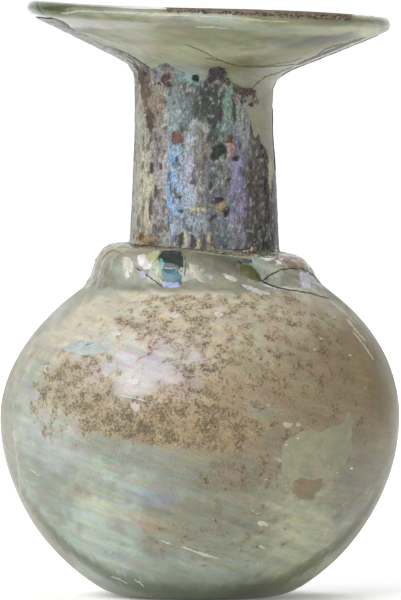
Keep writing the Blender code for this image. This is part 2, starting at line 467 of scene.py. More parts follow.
class Nodes:
    """A material's nodes, added and linked one after another."""

    def __init__(self, name):
        self.material = bpy.data.materials.new(name)
        self.material.use_nodes = True
        self.tree = self.material.node_tree
        self.shader = self.tree.nodes["Principled BSDF"]
        self.out = self.tree.nodes["Material Output"]

    def add(self, kind, settings=None, **inputs):
        node = self.tree.nodes.new("ShaderNode" + kind)
        for key, value in (settings or {}).items():
            setattr(node, key, value)
        for key, value in inputs.items():
            self.give(node, key.replace("_", " "), value)
        return node

    def give(self, node, key, value):
        socket = node.inputs[int(key) if key.isdigit() else key]
        if isinstance(value, bpy.types.NodeSocket):
            self.tree.links.new(value, socket)
        else:
            socket.default_value = value

    def maths(self, operation, first, second):
        node = self.add("Math", {"operation": operation})
        self.give(node, "0", first)
        self.give(node, "1", second)
        return node.outputs[0]

    def plus(self, first, second):
        return self.maths("ADD", first, second)

    def times(self, first, second):
        return self.maths("MULTIPLY", first, second)

    def minus(self, first, second):
        return self.maths("SUBTRACT", first, second)

    def spread(self, value, low, high, to_low=0.0, to_high=1.0):
        """A number moved from one range to another, and held inside it."""
        node = self.add("MapRange", Value=value, From_Min=low, From_Max=high, To_Min=to_low, To_Max=to_high)
        return node.outputs["Result"]

    def place(self, scale=(1, 1, 1), turn=(0, 0, 0)):
        """The piece's own coordinates in millimetres, stretched and turned."""
        coordinates = self.add("TexCoord").outputs["Object"]
        turned = self.add("Mapping", Vector=coordinates, Rotation=turn)
        return self.add("Mapping", Vector=turned.outputs[0], Scale=[s / MM for s in scale]).outputs[0]

    def noise(self, vector, scale, detail=3.0, roughness=0.55, output="Fac"):
        node = self.add("TexNoise", Vector=vector, Scale=scale, Detail=detail, Roughness=roughness)
        return node.outputs[output]

    def read(self, name, output="Fac"):
        return self.add("Attribute", {"attribute_name": name}).outputs[output]

    def tinted(self, colour, by):
        """A colour multiplied by a grey number."""
        node = self.add("VectorMath", {"operation": "SCALE"})
        self.give(node, "0", colour)
        self.give(node, "Scale", by)
        return node.outputs[0]

    def shifted(self, colour, hues, contrast):
        """A colour with each channel made a little stronger or weaker by a coloured noise."""
        factor = self.add("VectorMath", {"operation": "MULTIPLY_ADD"})
        self.give(factor, "0", hues)
        self.give(factor, "1", (contrast, contrast, contrast))
        self.give(factor, "2", (1 - contrast / 2, 1 - contrast / 2, 1 - contrast / 2))
        node = self.add("VectorMath", {"operation": "MULTIPLY"})
        self.give(node, "0", colour)
        self.give(node, "1", factor.outputs[0])
        return node.outputs[0]

    def blended(self, share, first, second):
        node = self.add("Mix", {"data_type": "RGBA"})
        self.give(node, "0", share)
        self.give(node, "6", first)
        self.give(node, "7", second)
        return node.outputs[2]


SAND = (0.37, 0.265, 0.145, 1), (0.26, 0.185, 0.105, 1)
BARE_GREEN = (0.220, 0.225, 0.150, 1), (0.290, 0.260, 0.170, 1)
DARK_SPECK = (0.070, 0.055, 0.034, 1)
PALE_GRAIN = (0.34, 0.30, 0.22, 1)
CLEAR_GLASS = (0.80, 0.87, 0.70, 1)
GLASS_IOR = 1.5


def weathered_glass(name, streaked, tilt, bump_depth, grain_contrast, hue_contrast, specked=0.25, drawn=1.0):
    """Pale green glass under a film whose colour, clearness, roughness and grit are painted on the mesh.

    streaked is the scale of the streaks along each axis and tilt their slope in degrees. specked is the share
    of dark specks where there is no crust, and drawn draws the fine grain out upwards when it is under 1.
    """
    slope = (0, math.radians(tilt), 0)
    n = Nodes(name)
    upright = n.place((1, 1, drawn))
    clumps = n.noise(upright, 2.6, 6.0, 0.8)
    grains = n.noise(upright, 4.4, 3.0, 0.65)
    mottle = n.noise(n.place(), 0.55, 6.0, 0.62)
    streaks = n.noise(n.place(streaked, slope), 1.0, 5.0, 0.6)
    grit = n.read("grit")
    crust = n.spread(n.plus(grit, n.times(mottle, 1.8)), 1.22, 1.50)
    patchy = n.plus(n.times(grit, 0.12), n.times(mottle, 0.45))
    specks = n.spread(n.plus(clumps, patchy), 0.80, 0.90)
    dark = n.times(specks, n.times(n.plus(crust, specked), 0.68))
    pale = n.times(n.spread(grains, 0.56, 0.70), n.times(grit, 0.7))
    hues = n.noise(n.place(streaked, slope), 1.7, 6.0, 0.68, "Color")
    colour = n.shifted(n.read("film", "Color"), hues, hue_contrast)
    colour = n.tinted(colour, n.spread(streaks, 0.25, 0.75, 0.80, 1.20))
    colour = n.tinted(colour, n.spread(grains, 0.3, 0.7, 1 - grain_contrast, 1 + grain_contrast))
    sand = n.blended(n.spread(mottle, 0.40, 0.60), *SAND)
    colour = n.blended(n.times(crust, 0.45), colour, sand)
    colour = n.blended(dark, colour, DARK_SPECK)
    colour = n.blended(pale, colour, PALE_GRAIN)
    window = n.spread(n.plus(n.read("bare"), n.spread(grains, 0.3, 0.7, -0.16, 0.16)), -0.05, 0.06)
    green = n.blended(n.spread(mottle, 0.42, 0.58), *BARE_GREEN)
    colour = n.blended(window, colour, n.tinted(green, n.spread(grains, 0.3, 0.7, 0.93, 1.07)))
    height = n.minus(n.minus(pale, dark), n.times(window, 0.8))
    height = n.plus(height, n.times(crust, 0.5))
    height = n.plus(height, n.times(streaks, 0.35))
    bump = n.add("Bump", Height=height, Strength=0.5, Distance=bump_depth)
    film = n.shader
    n.give(film, "Base Color", colour)
    rough = n.plus(n.read("rough"), n.times(crust, 0.2))
    n.give(film, "Roughness", n.plus(rough, n.spread(streaks, 0.3, 0.7, -0.06, 0.06)))
    n.give(film, "Normal", bump.outputs[0])
    film.inputs["IOR"].default_value = GLASS_IOR
    film.inputs["Specular IOR Level"].default_value = 0.22
    glass = n.add("BsdfPrincipled")
    glass.inputs["Base Color"].default_value = CLEAR_GLASS
    glass.inputs["Roughness"].default_value = 0.12
    glass.inputs["IOR"].default_value = GLASS_IOR
    glass.inputs["Transmission Weight"].default_value = 1.0
    mix = n.add("MixShader")
    n.give(mix, "0", n.read("clear"))
    n.give(mix, "1", film.outputs[0])
    n.give(mix, "2", glass.outputs[0])
    n.give(n.out, "Surface", mix.outputs[0])
    return n.material


def soil_material():
    """Dry brown soil and crust caught in the corners."""
    n = Nodes("caught_soil")
    fine = n.noise(n.place(), 3.0, 4.0, 0.7)
    colour = n.tinted(n.read("film", "Color"), n.spread(fine, 0.3, 0.7, 0.55, 1.45))
    bump = n.add("Bump", Height=fine, Strength=0.9, Distance=0.00012)
    n.give(n.shader, "Base Color", colour)
    n.give(n.shader, "Roughness", n.spread(fine, 0.3, 0.7, 0.7, 0.95))
    n.give(n.shader, "Normal", bump.outputs[0])
    return n.material


# The vessel


AROUND = 300
POLE_GAP = 0.001

# Spacing of the vessel's rows, up the outside and then down the inside
BASE_PITCH = 0.0016
BODY_PITCH = 0.00056
COLLAR_PITCH = 0.0004
NECK_PITCH = 0.0014
MOUTH_PITCH = 0.0006
LIP_PITCH = 0.0003
LIP_INNER_PITCH = 0.0004
MOUTH_INNER_PITCH = 0.0008
INNER_PITCH = 0.0038

# Films and glass before the marks: a colour in the photo over how much light falls there
PLAIN_FILM = tone(158, 154, 132) / 1.7
BASE_GLASS = tone(98, 108, 82) / 1.3
COLLAR_GLASS = tone(164, 167, 144) / 1.7
MOUTH_GLASS = tone(146, 150, 123) / 1.25
RIM_SOIL = tone(92, 84, 80) / 1.4
INNER_BLOOM = tone(168, 166, 140) / 1.6
NECK_FILM = tone(122, 118, 114) / 2
NECK_PITS = tone(62, 58, 58) / 2
NECK_FLECKS = tone(190, 194, 188) / 2


def vessel_rows():
    """Stations of the vessel's rows."""
    up, down = wall.outside, wall.inside
    lip = wall.lip
    return rows(
        (POLE_GAP, up(BASE_TOP), BASE_PITCH),
        (up(BASE_TOP), up(COLLAR_LOW), BODY_PITCH),
        (up(COLLAR_LOW), up(NECK_LOW), COLLAR_PITCH),
        (up(NECK_LOW), up(NECK_HIGH), NECK_PITCH),
        (up(NECK_HIGH), up(LIP_LOW), MOUTH_PITCH),
        (up(LIP_LOW), lip, LIP_PITCH),
        (lip, down(LIP_LOW), LIP_INNER_PITCH),
        (down(LIP_LOW), down(MOUTH_LOW), MOUTH_INNER_PITCH),
        (down(MOUTH_LOW), wall.length - POLE_GAP, INNER_PITCH),
    )


# Tones as they look in the photo, red, green and blue from 0 to 255. First tans and creams
DARK_TAN = (122, 112, 91)
TAN = (132, 119, 96)
SAND_TAN = (145, 132, 108)
OLIVE_TAN = (152, 147, 121)
LIGHT_TAN = (166, 152, 125)
STRAW = (189, 169, 143)
APRICOT = (206, 176, 154)
PEACH = (208, 193, 175)
BUFF = (188, 182, 160)
PALE_BUFF = (200, 194, 170)
IVORY = (206, 201, 183)
BONE = (221, 215, 199)
# Tone of the painted highlight on the shoulder
CREAM_HIGHLIGHT = (234, 226, 204)

# Pearly film. The first tone is pearly film and painted highlight together
PEARL_AND_HIGHLIGHT = (227, 224, 222)
LILAC = (204, 197, 207)
DUSK = (187, 182, 181)
SILVER = (210, 217, 209)
FROST = (204, 206, 193)
MINT = (196, 211, 199)

# Grey greens
PALE_SAGE = (191, 197, 182)
LIGHT_SAGE = (184, 183, 166)
SAGE = (174, 179, 163)
HAY = (179, 180, 153)
KHAKI = (173, 170, 147)
MIST = (173, 184, 171)
COOL_SAGE = (167, 175, 163)
GREEN_SAGE = (162, 171, 156)
DULL_SAGE = (154, 160, 149)
REED = (157, 159, 132)
GREY_SAGE = (148, 153, 138)
WARM_GREY = (152, 151, 135)
FERN = (143, 146, 122)
GREY_OLIVE = (136, 139, 123)
DRY_OLIVE = (138, 138, 110)
OLIVE = (129, 129, 112)
BROWN_OLIVE = (127, 122, 108)
MOSS = (121, 121, 101)
DEEP_GREEN = (108, 116, 96)
DARK_MOSS = (97, 105, 83)

# Greys and darks of the neck
DRAB = (156, 143, 129)
STONE = (150, 145, 141)
DULL_GREY = (133, 130, 125)
PEWTER = (141, 145, 143)
LEAD = (111, 115, 118)
UMBER = (110, 105, 97)
PLUM_GREY = (110, 106, 115)
DARK_LEAD = (92, 96, 98)
CHAR = (79, 74, 70)
NEAR_BLACK = (59, 57, 52)
SOOT = (46, 44, 41)

# Rainbow film of the neck
COOL_GREY = (156, 164, 160)
SEA_GREY = (144, 163, 160)
CELADON = (124, 135, 129)
JADE = (113, 141, 124)
TURQUOISE = (135, 172, 169)
TEAL_GREY = (99, 121, 118)
DEEP_TEAL = (86, 109, 103)
SLATE_GREEN = (103, 114, 112)
DARK_TEAL = (67, 77, 75)
STEEL = (134, 136, 144)
BLUE_SLATE = (109, 124, 135)
BLUE_GREY = (149, 161, 172)
BLUE_PEARL = (168, 174, 187)
SKY = (137, 172, 207)
PALE_SKY = (164, 186, 209)
VIOLET = (118, 113, 142)


BODY_MARKS = (
    # column, row, half width, half height, turn, tone, strength, softness
    (150, 310, 60, 22, 14, IVORY, 0.9, 0.6),
    (70, 325, 30, 22, 38, IVORY, 0.9, 0.6),
    (45, 365, 22, 30, 60, LIGHT_SAGE, 0.9, 0.6),
    (30, 400, 20, 26, 70, PALE_SAGE, 0.8, 0.6),
    (230, 300, 60, 14, -4, BUFF, 0.8, 0.6),
    (300, 315, 50, 22, -20, OLIVE_TAN, 0.9, 0.6),
    (340, 350, 34, 34, -40, TAN, 0.9, 0.6),
    (310, 380, 46, 34, 0, SAND_TAN, 0.9, 0.6),
    (375, 380, 16, 46, 10, DARK_TAN, 0.9, 0.6),
    (385, 430, 12, 44, 0, DARK_TAN, 0.9, 0.6),
    (365, 460, 22, 30, 10, DARK_TAN, 0.8, 0.6),
    (215, 330, 42, 24, 0, BUFF, 0.9, 0.6),
    (225, 385, 30, 34, 0, LIGHT_TAN, 0.9, 0.6),
    (175, 325, 34, 10, -10, IVORY, 0.7, 0.5),
    (70, 395, 34, 34, -20, LIGHT_SAGE, 0.9, 0.5),
    (110, 415, 44, 18, -12, KHAKI, 0.9, 0.5),
    (165, 425, 44, 18, -6, LIGHT_TAN, 0.9, 0.5),
    (225, 430, 40, 22, 0, SAND_TAN, 0.9, 0.5),
    (290, 400, 40, 26, 0, SAND_TAN, 0.8, 0.6),
    (265, 445, 22, 14, 0, SAND_TAN, 0.8, 0.6),
    (335, 405, 30, 20, 0, TAN, 0.8, 0.6),
    # The pearl marks are pearly film lightened by a painted highlight where the light's broad sheen falls
    (125, 360, 36, 24, -8, PEARL_AND_HIGHLIGHT, 0.9, 0.6),
    (150, 350, 40, 18, -6, PEARL_AND_HIGHLIGHT, 0.8, 0.6),
    (178, 368, 22, 20, -30, LILAC, 0.9, 0.6),
    (160, 366, 12, 10, 0, PEARL_AND_HIGHLIGHT, 0.7, 0.6),
    (172, 390, 14, 12, -30, DUSK, 0.9, 0.5),
    (163, 397, 14, 7, 0, PEACH, 0.8, 0.4),
    (80, 348, 22, 7, 8, SILVER, 0.8, 0.4),
    (90, 351, 8, 4, 0, SILVER, 0.9, 0.4),
    (60, 358, 5, 5, 0, PALE_BUFF, 0.8, 0.4),
    (58, 311, 12, 6, 50, SILVER, 0.8, 0.4),
    (130, 324, 18, 6, 6, BONE, 0.7, 0.5),
    (134, 407, 7, 6, 0, PEACH, 0.8, 0.4),
    (137, 415, 7, 3, 0, BUFF, 0.7, 0.4),
    (25, 430, 18, 14, 60, PALE_SAGE, 0.8, 0.6),
    (60, 435, 30, 12, -18, PALE_SAGE, 0.8, 0.5),
    (130, 458, 60, 12, -12, GREEN_SAGE, 0.8, 0.6),
    (45, 448, 24, 8, -14, SAGE, 0.7, 0.6),
    (65, 475, 12, 18, -30, COOL_SAGE, 0.7, 0.6),
    (35, 480, 18, 20, 60, COOL_SAGE, 0.8, 0.6),
    (120, 480, 60, 14, -14, MIST, 0.8, 0.6),
    (180, 478, 30, 12, -10, GREY_SAGE, 0.7, 0.6),
    (60, 510, 26, 22, 60, GREEN_SAGE, 0.8, 0.6),
    (110, 505, 24, 7, -26, SAGE, 0.7, 0.5),
    (150, 528, 30, 7, -20, KHAKI, 0.8, 0.5),
    (100, 530, 30, 12, -30, COOL_SAGE, 0.7, 0.6),
    (90, 552, 26, 12, -36, DULL_SAGE, 0.7, 0.6),
    (140, 560, 26, 10, -26, DULL_SAGE, 0.8, 0.6),
    (190, 535, 30, 16, -10, GREY_SAGE, 0.7, 0.6),
    (190, 565, 30, 12, -14, GREY_SAGE, 0.8, 0.6),
    (120, 578, 26, 8, -24, GREY_SAGE, 0.8, 0.5),
    (210, 475, 18, 12, 0, GREY_OLIVE, 0.8, 0.5),
    (222, 465, 14, 6, 0, BROWN_OLIVE, 0.8, 0.5),
    (245, 482, 30, 10, 0, BROWN_OLIVE, 0.8, 0.6),
    (230, 512, 30, 7, -8, GREY_OLIVE, 0.8, 0.5),
    (240, 535, 34, 14, 0, GREY_OLIVE, 0.8, 0.6),
    (250, 465, 26, 8, 0, BROWN_OLIVE, 0.7, 0.6),
    (250, 560, 34, 14, 0, GREY_OLIVE, 0.8, 0.6),
    (300, 540, 34, 18, 20, GREY_OLIVE, 0.8, 0.6),
    (320, 510, 30, 14, 30, GREY_OLIVE, 0.8, 0.6),
    (355, 485, 24, 20, 50, BROWN_OLIVE, 0.8, 0.6),
    (345, 465, 12, 10, 0, BROWN_OLIVE, 0.6, 0.6),
    (340, 530, 20, 20, 50, OLIVE, 0.8, 0.6),
    (255, 411, 9, 7, 0, WARM_GREY, 0.7, 0.4),
    (271, 411, 8, 5, 0, WARM_GREY, 0.6, 0.4),
    (200, 585, 60, 6, 0, DEEP_GREEN, 0.9, 0.5),
    (290, 575, 30, 8, 30, MOSS, 0.8, 0.5),
    (150, 590, 30, 5, -20, DEEP_GREEN, 0.9, 0.5),
    (250, 592, 30, 4, 10, DARK_MOSS, 0.9, 0.5),
    (118, 514, 34, 6, -20, STRAW, 0.8, 0.5),
    (150, 500, 22, 8, -10, BLUE_GREY, 0.7, 0.5),
    (168, 362, 22, 20, 0, LILAC, 0.75, 0.5),
    (160, 395, 16, 7, 0, APRICOT, 0.7, 0.5),
    (85, 460, 46, 9, -14, PALE_SAGE, 0.7, 0.5),
    # The next two marks are a painted highlight on the shoulder
    (110, 308, 46, 16, 14, CREAM_HIGHLIGHT, 0.7, 0.6),
    (165, 298, 56, 14, 6, CREAM_HIGHLIGHT, 0.7, 0.6),
    (265, 308, 60, 18, 16, PALE_BUFF, 0.6, 0.6),
    # Painted highlight down the left edge, in the film's silver tone
    (40, 425, 22, 26, 60, SILVER, 0.7, 0.6),
    (200, 573, 120, 12, 0, GREEN_SAGE, 0.6, 0.6),
    (100, 567, 40, 14, 40, MINT, 0.65, 0.6),
    (302, 567, 40, 14, -40, HAY, 0.65, 0.6),
    (200, 597, 92, 4, 0, DARK_MOSS, 0.7, 0.5),
)

CRUST_MARKS = (
    # column, row, half width, half height, turn, strength: where sandy crust lies on the body
    (75, 385, 34, 26, -30, 0.75),
    (60, 408, 30, 18, -14, 0.7),
    (100, 415, 36, 16, -14, 0.85),
    (140, 424, 46, 18, -8, 1.0),
    (195, 420, 44, 26, -4, 1.0),
    (215, 375, 44, 40, 0, 0.85),
    (230, 430, 40, 26, 8, 0.8),
    (200, 318, 60, 20, -4, 0.65),
    (290, 350, 70, 56, 0, 0.5),
    (330, 400, 50, 40, 0, 0.42),
    (250, 475, 40, 18, 0, 0.45),
    (230, 535, 60, 30, 0, 0.3),
    (60, 432, 26, 10, -10, 0.4),
)

SHEEN_MARKS = (
    # column, row, half width, half height, turn, strength: smooth pearly film
    (130, 360, 52, 28, -10, 1.0),
    (170, 372, 30, 24, -20, 0.9),
    (80, 348, 26, 9, 8, 0.7),
    (100, 320, 60, 20, 8, 0.5),
    (60, 500, 60, 50, -30, 0.7),
    (140, 470, 80, 18, -14, 0.6),
)

WINDOW = [
    (280, 458), (284, 442), (292, 438), (300, 432), (311, 430), (322, 433), (330, 426), (343, 425),
    (349, 411), (354, 421), (351, 436), (352, 450), (345, 464), (334, 474), (325, 482), (308, 488),
    (300, 498), (290, 520), (284, 506), (278, 494), (284, 478),
]

LEAF = [(293, 483), (302, 478), (314, 481), (325, 478), (320, 487), (311, 499), (300, 500), (294, 492)]


def paint_body(skin):
    """The body's film: tan above, grey green below, with sandy crust, pale sheen, painted highlights and
    flaked places.
    """
    p = skin.points
    lay_marks(skin, BODY_MARKS, 0, 0.45)
    for spots, side in ((half_turned(p), 50), (p, 0)):
        for column, row, wide, high, turn, strength in SHEEN_MARKS:
            mask = blob(spots, column, row, wide, high, turn, 0.6, 0.4, 0.7, side)
            skin.lay(mask * strength, rough=0.38)
        for column, row, wide, high, turn, strength in CRUST_MARKS:
            mask = blob(spots, column, row, wide, high, turn, 0.45, 0.5, 0.5, side)
            skin.lay(mask, rough=0.62, grit=strength, clear=0.02)
    skin.proud += 0.05 * MM * noise(p, 9 * MM, 3, 2)
    skin.proud += 0.04 * MM * skin.grit * noise(p, 0.9 * MM, 4, 2)


def paint_window(skin):
    """The flaked place on the right, where the bare green glass shows, with a leaf of film left on it."""
    p = skin.points
    edge = both_sides(p, WINDOW) + 0.9 * noise(p, 1.0 * MM, 21, 2)
    leaf = both_sides(p, LEAF) + 0.5 * noise(p, 0.8 * MM, 22, 2)
    skin.lay(smooth(leaf, -2.5, -0.5), seen(308, 488, (124, 112, 88)), clear=0.0, rough=0.5, grit=0.3)
    fading = smooth(in_photo(p)[1], 500, 484)
    skin.bare = np.clip(np.minimum(edge, -leaf) / 4, -1, 1) - 1.2 * (1 - fading)
    skin.proud -= 0.09 * MM * smooth(skin.bare, -0.1, 0.2)


def paint_base(skin):
    """The thick green base."""
    base = smooth(skin.points[..., 2], 4.2 * MM, 2.0 * MM)
    skin.lay(base * 0.5, BASE_GLASS, clear=0.35, rough=0.25, grit=0.1)


COLLAR_MARKS = (
    # column, row, half width, half height, turn, tone, strength, softness
    (105, 262, 12, 18, -10, LIGHT_SAGE, 0.9, 0.5),
    (125, 268, 12, 16, 0, FROST, 0.8, 0.5),
    (150, 275, 16, 10, 0, FROST, 0.7, 0.5),
    # Painted highlight: the pale diagonal streak on the collar
    (200, 270, 16, 12, -20, PALE_SAGE, 0.9, 0.5),
    (225, 266, 20, 8, -10, OLIVE, 0.8, 0.5),
    (212, 258, 26, 4, -4, OLIVE, 0.8, 0.5),
    (250, 270, 12, 8, -30, DEEP_GREEN, 0.8, 0.5),
    (268, 266, 14, 9, 0, MIST, 0.9, 0.5),
    (296, 276, 16, 8, -10, WARM_GREY, 0.9, 0.5),
    (300, 262, 14, 4, -20, DRAB, 0.9, 0.5),
    (318, 282, 10, 8, -40, BROWN_OLIVE, 0.8, 0.5),
    (130, 248, 24, 4, 6, PALE_BUFF, 0.8, 0.5),
    (235, 284, 30, 5, -8, KHAKI, 0.8, 0.6),
)

MOUTH_MARKS = (
    # column, row, half width, half height, turn, tone, strength, softness
    (34, 8, 6, 7, 0, REED, 0.9, 0.5),
    (43, 9, 5, 7, 0, FERN, 0.9, 0.5),
    (55, 8, 8, 4, -40, PALE_SAGE, 0.9, 0.5),
    (75, 10, 12, 5, 0, HAY, 0.7, 0.5),
    # The next three marks are painted shade: the darker olive under the lip's left side
    (90, 22, 34, 8, -8, DARK_MOSS, 0.9, 0.6),
    (68, 27, 12, 4, -32, NEAR_BLACK, 0.7, 0.6),
    (130, 30, 50, 12, -5, DEEP_GREEN, 0.9, 0.6),
    (190, 36, 40, 12, -3, KHAKI, 0.9, 0.6),
    (250, 42, 44, 12, 0, REED, 0.9, 0.6),
    (300, 42, 36, 10, 8, FERN, 0.9, 0.6),
    (340, 38, 26, 6, 22, DEEP_GREEN, 0.8, 0.6),
    (165, 56, 36, 5, -12, WARM_GREY, 0.8, 0.5),
    (185, 69, 20, 7, -10, COOL_GREY, 0.9, 0.5),
    (225, 70, 18, 7, -5, MOSS, 0.7, 0.5),
    (255, 76, 14, 8, 10, OLIVE, 0.8, 0.5),
    (285, 56, 24, 7, 16, DRY_OLIVE, 0.8, 0.6),
    (245, 61, 30, 4, 0, DRY_OLIVE, 0.7, 0.5),
    (192, 19, 22, 3.5, -4, GREEN_SAGE, 0.9, 0.4),
    (238, 24, 36, 4, -8, GREEN_SAGE, 0.9, 0.4),
    (305, 27, 32, 3.5, -2, DRY_OLIVE, 0.9, 0.4),
    (335, 31, 14, 2.5, 8, KHAKI, 0.8, 0.4),
    (372, 26, 13, 6, -10, REED, 0.9, 0.5),
    # Painted light: a paler patch that offsets the shade in the middle of the underside
    (200, 54, 26, 7, 0, HAY, 0.8, 0.6),
    (160, 17, 12, 2.5, 0, FROST, 0.9, 0.4),
    (105, 12, 36, 2.5, -3, PALE_SAGE, 0.6, 0.4),
    (132, 9, 12, 2, 0, PALE_SAGE, 0.7, 0.4),
    (262, 100, 10, 30, 0, OLIVE, 0.9, 0.5),
)

RIM_CRUST = [
    (166, 2), (402, 2), (402, 12), (353, 14), (351, 20), (330, 20), (280, 18.5),
    (240, 15), (205, 12.5), (166, 10),
]


def lay_marks(skin, marks, seed=0, ragged=0.4, stretch=(1, 1, 1)):
    """Lays every mark on the front, and again on the back."""
    for spots, side in ((half_turned(skin.points), 50), (skin.points, 0)):
        for column, row, wide, high, turn, colour, strength, soft in marks:
            mask = blob(spots, column, row, wide, high, turn, soft, ragged, 0.7, seed + side, stretch)
            skin.lay(mask * strength, seen(column, row, colour))


def paint_collar(skin):
    """The collar: smooth, clear olive glass with folds, and a pale painted highlight among its marks."""
    p = skin.points
    height = p[..., 2]
    on = smooth(height, COLLAR_LOW + 0.2 * MM, COLLAR_LOW + 1.4 * MM) * smooth(height, 57.5 * MM, 56.5 * MM)
    skin.lay(on, COLLAR_GLASS, clear=0.22, rough=0.16, grit=0.0)
    lay_marks(skin, COLLAR_MARKS, 300)
    folds = noise(p, 2.6 * MM, 41, 2) + 0.5 * noise(p, 1.1 * MM, 42, 2)
    skin.proud += on * folds * 0.20 * MM


def paint_mouth(skin):
    """The mouth's underside, lip and inside: grey green glass, dulled, with tide lines round it, painted
    shade under the lip's left side and a patch of painted light in the middle of the underside.
    """
    p = skin.points
    on = smooth(p[..., 2], 80.5 * MM, 82.5 * MM)
    skin.lay(on, MOUTH_GLASS, clear=0.07, rough=0.42, grit=0.05)
    lay_marks(skin, MOUTH_MARKS, 400, 0.35, (3, 3, 1))
    lip = smooth(p[..., 2], LIP_LOW - 0.6 * MM, LIP_LOW + 0.4 * MM)
    skin.lay(lip, clear=0.3, rough=0.12)
    rings = noise(p, 1.2 * MM, 51, 3, (9, 9, 0.9))
    skin.tint(on, (1 + 0.08 * rings)[..., None])
    crust = smooth(inside_outline(p, RIM_CRUST) + 1.2 * noise(p, 0.9 * MM, 52, 2), -0.4, 0.6) * lip
    skin.lay(crust, RIM_SOIL, clear=0.0, rough=0.7, grit=0.8)


def paint_inside(skin, inner):
    """The inner face: a thin tan bloom on the glass."""
    skin.lay(inner, INNER_BLOOM, clear=0.25, rough=0.35, grit=0.1)


def make_vessel(material):
    """The flask's wall, outside and inside, with a point at each end where the rows close."""
    stations = vessel_rows()
    points, normals = wall.at(stations, AROUND)
    inner = (stations > wall.lip)[:, None] * smooth(points[..., 2], LIP_LOW, LIP_LOW - 1.5 * MM)
    skin = Skin(points, PLAIN_FILM, clear=0.06, rough=0.42, grit=0.1)
    paint_body(skin)
    paint_window(skin)
    paint_base(skin)
    paint_collar(skin)
    paint_mouth(skin)
    paint_inside(skin, inner)
    outer = (stations > wall.outside(1.0 * MM)) & (stations < wall.outside(NECK_HIGH))
    moved = points + normals * (skin.proud * outer[:, None])[..., None]
    ends = wall.sampled(np.array([0.0, wall.length]))[:, 0]
    everything = np.concatenate((moved.reshape(-1, 3), ends))
    wall.see(everything, grid_faces(len(stations), AROUND))
    count = len(stations)
    last = count * AROUND
    faces = (
        grid_faces(count, AROUND),
        fan(last, 0, AROUND, True),
        fan(last + 1, last - AROUND, AROUND, False),
    )
    skin.pick(np.append(np.arange(last), (0, last - 1)))
    vessel = mesh_piece("vessel", everything, faces, skin, material)
    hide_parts(NODE)


# The neck's crust


CRUST_AROUND = 352
CRUST_PITCH = 0.205 * MM

NECK_MARKS = (
    # column, row, half width, half height, turn, tone, strength
    (85, 39, 56, 8, -28, GREY_SAGE, 0.9),
    (139, 100, 7, 50, 0, UMBER, 0.8),
    (139, 170, 6, 60, 0, LIGHT_SAGE, 0.9),
    (146, 205, 7, 42, 0, PALE_BUFF, 0.9),
    (158, 104, 12, 24, 0, DRAB, 0.9),
    (161, 74, 7, 6, 0, STEEL, 0.9),
    (172, 72, 6, 5, 20, STONE, 0.8),
    (172, 80, 9, 6, 0, DULL_GREY, 0.7),
    (158, 145, 9, 22, 0, STONE, 0.8),
    (164, 190, 8, 40, 0, DUSK, 0.8),
    (176, 112, 9, 26, 0, SEA_GREY, 0.9),
    (190, 120, 9, 36, 0, TEAL_GREY, 0.8),
    (193, 108, 5, 9, 0, PLUM_GREY, 0.7),
    (180, 108, 3, 6, 0, STEEL, 0.6),
    (206, 110, 12, 32, 0, DARK_TEAL, 0.95),
    (212, 96, 12, 12, 0, DARK_TEAL, 0.7),
    (200, 142, 10, 18, 0, DULL_GREY, 0.8),
    (192, 76, 12, 6, 5, TURQUOISE, 0.95),
    (228, 104, 6, 18, 0, JADE, 1.0),
    (226, 128, 8, 9, -30, TEAL_GREY, 0.9),
    (220, 134, 6, 8, 0, DEEP_TEAL, 0.8),
    (238, 145, 5, 18, 0, SLATE_GREEN, 0.9),
    (243, 122, 7, 22, 0, PEWTER, 0.9),
    (222, 162, 12, 8, 0, CELADON, 0.7),
    (174, 184, 6, 42, 0, SKY, 1.0),
    (172, 206, 5, 20, 0, SKY, 0.9),
    (183, 165, 4, 16, 0, PALE_SKY, 0.8),
    (190, 185, 8, 50, 0, BLUE_PEARL, 0.9),
    (184, 205, 5, 26, 0, PALE_SKY, 0.7),
    (203, 160, 4, 18, 0, SAND_TAN, 0.9),
    (205, 190, 5, 34, 0, UMBER, 0.8),
    (196, 222, 12, 16, 0, BLUE_GREY, 0.9),
    (180, 232, 12, 14, 0, BLUE_GREY, 0.7),
    (214, 190, 10, 34, 0, LEAD, 0.9),
    (222, 184, 4, 28, 22, LEAD, 0.7),
    (228, 225, 9, 26, 0, BLUE_SLATE, 0.9),
    (229, 226, 3, 14, 0, BLUE_SLATE, 0.6),
    (240, 195, 9, 44, 0, VIOLET, 0.95),
    (214, 236, 14, 16, 0, DARK_LEAD, 0.7),
    (243, 232, 12, 18, 0, PLUM_GREY, 0.7),
    (262, 205, 12, 52, 0, NEAR_BLACK, 0.95),
    (272, 225, 7, 40, 0, SOOT, 0.9),
    (256, 170, 7, 26, 0, CHAR, 0.8),
    (252, 182, 3, 10, 0, CHAR, 0.7),
    (259, 206, 7, 10, 0, CHAR, 0.7),
)

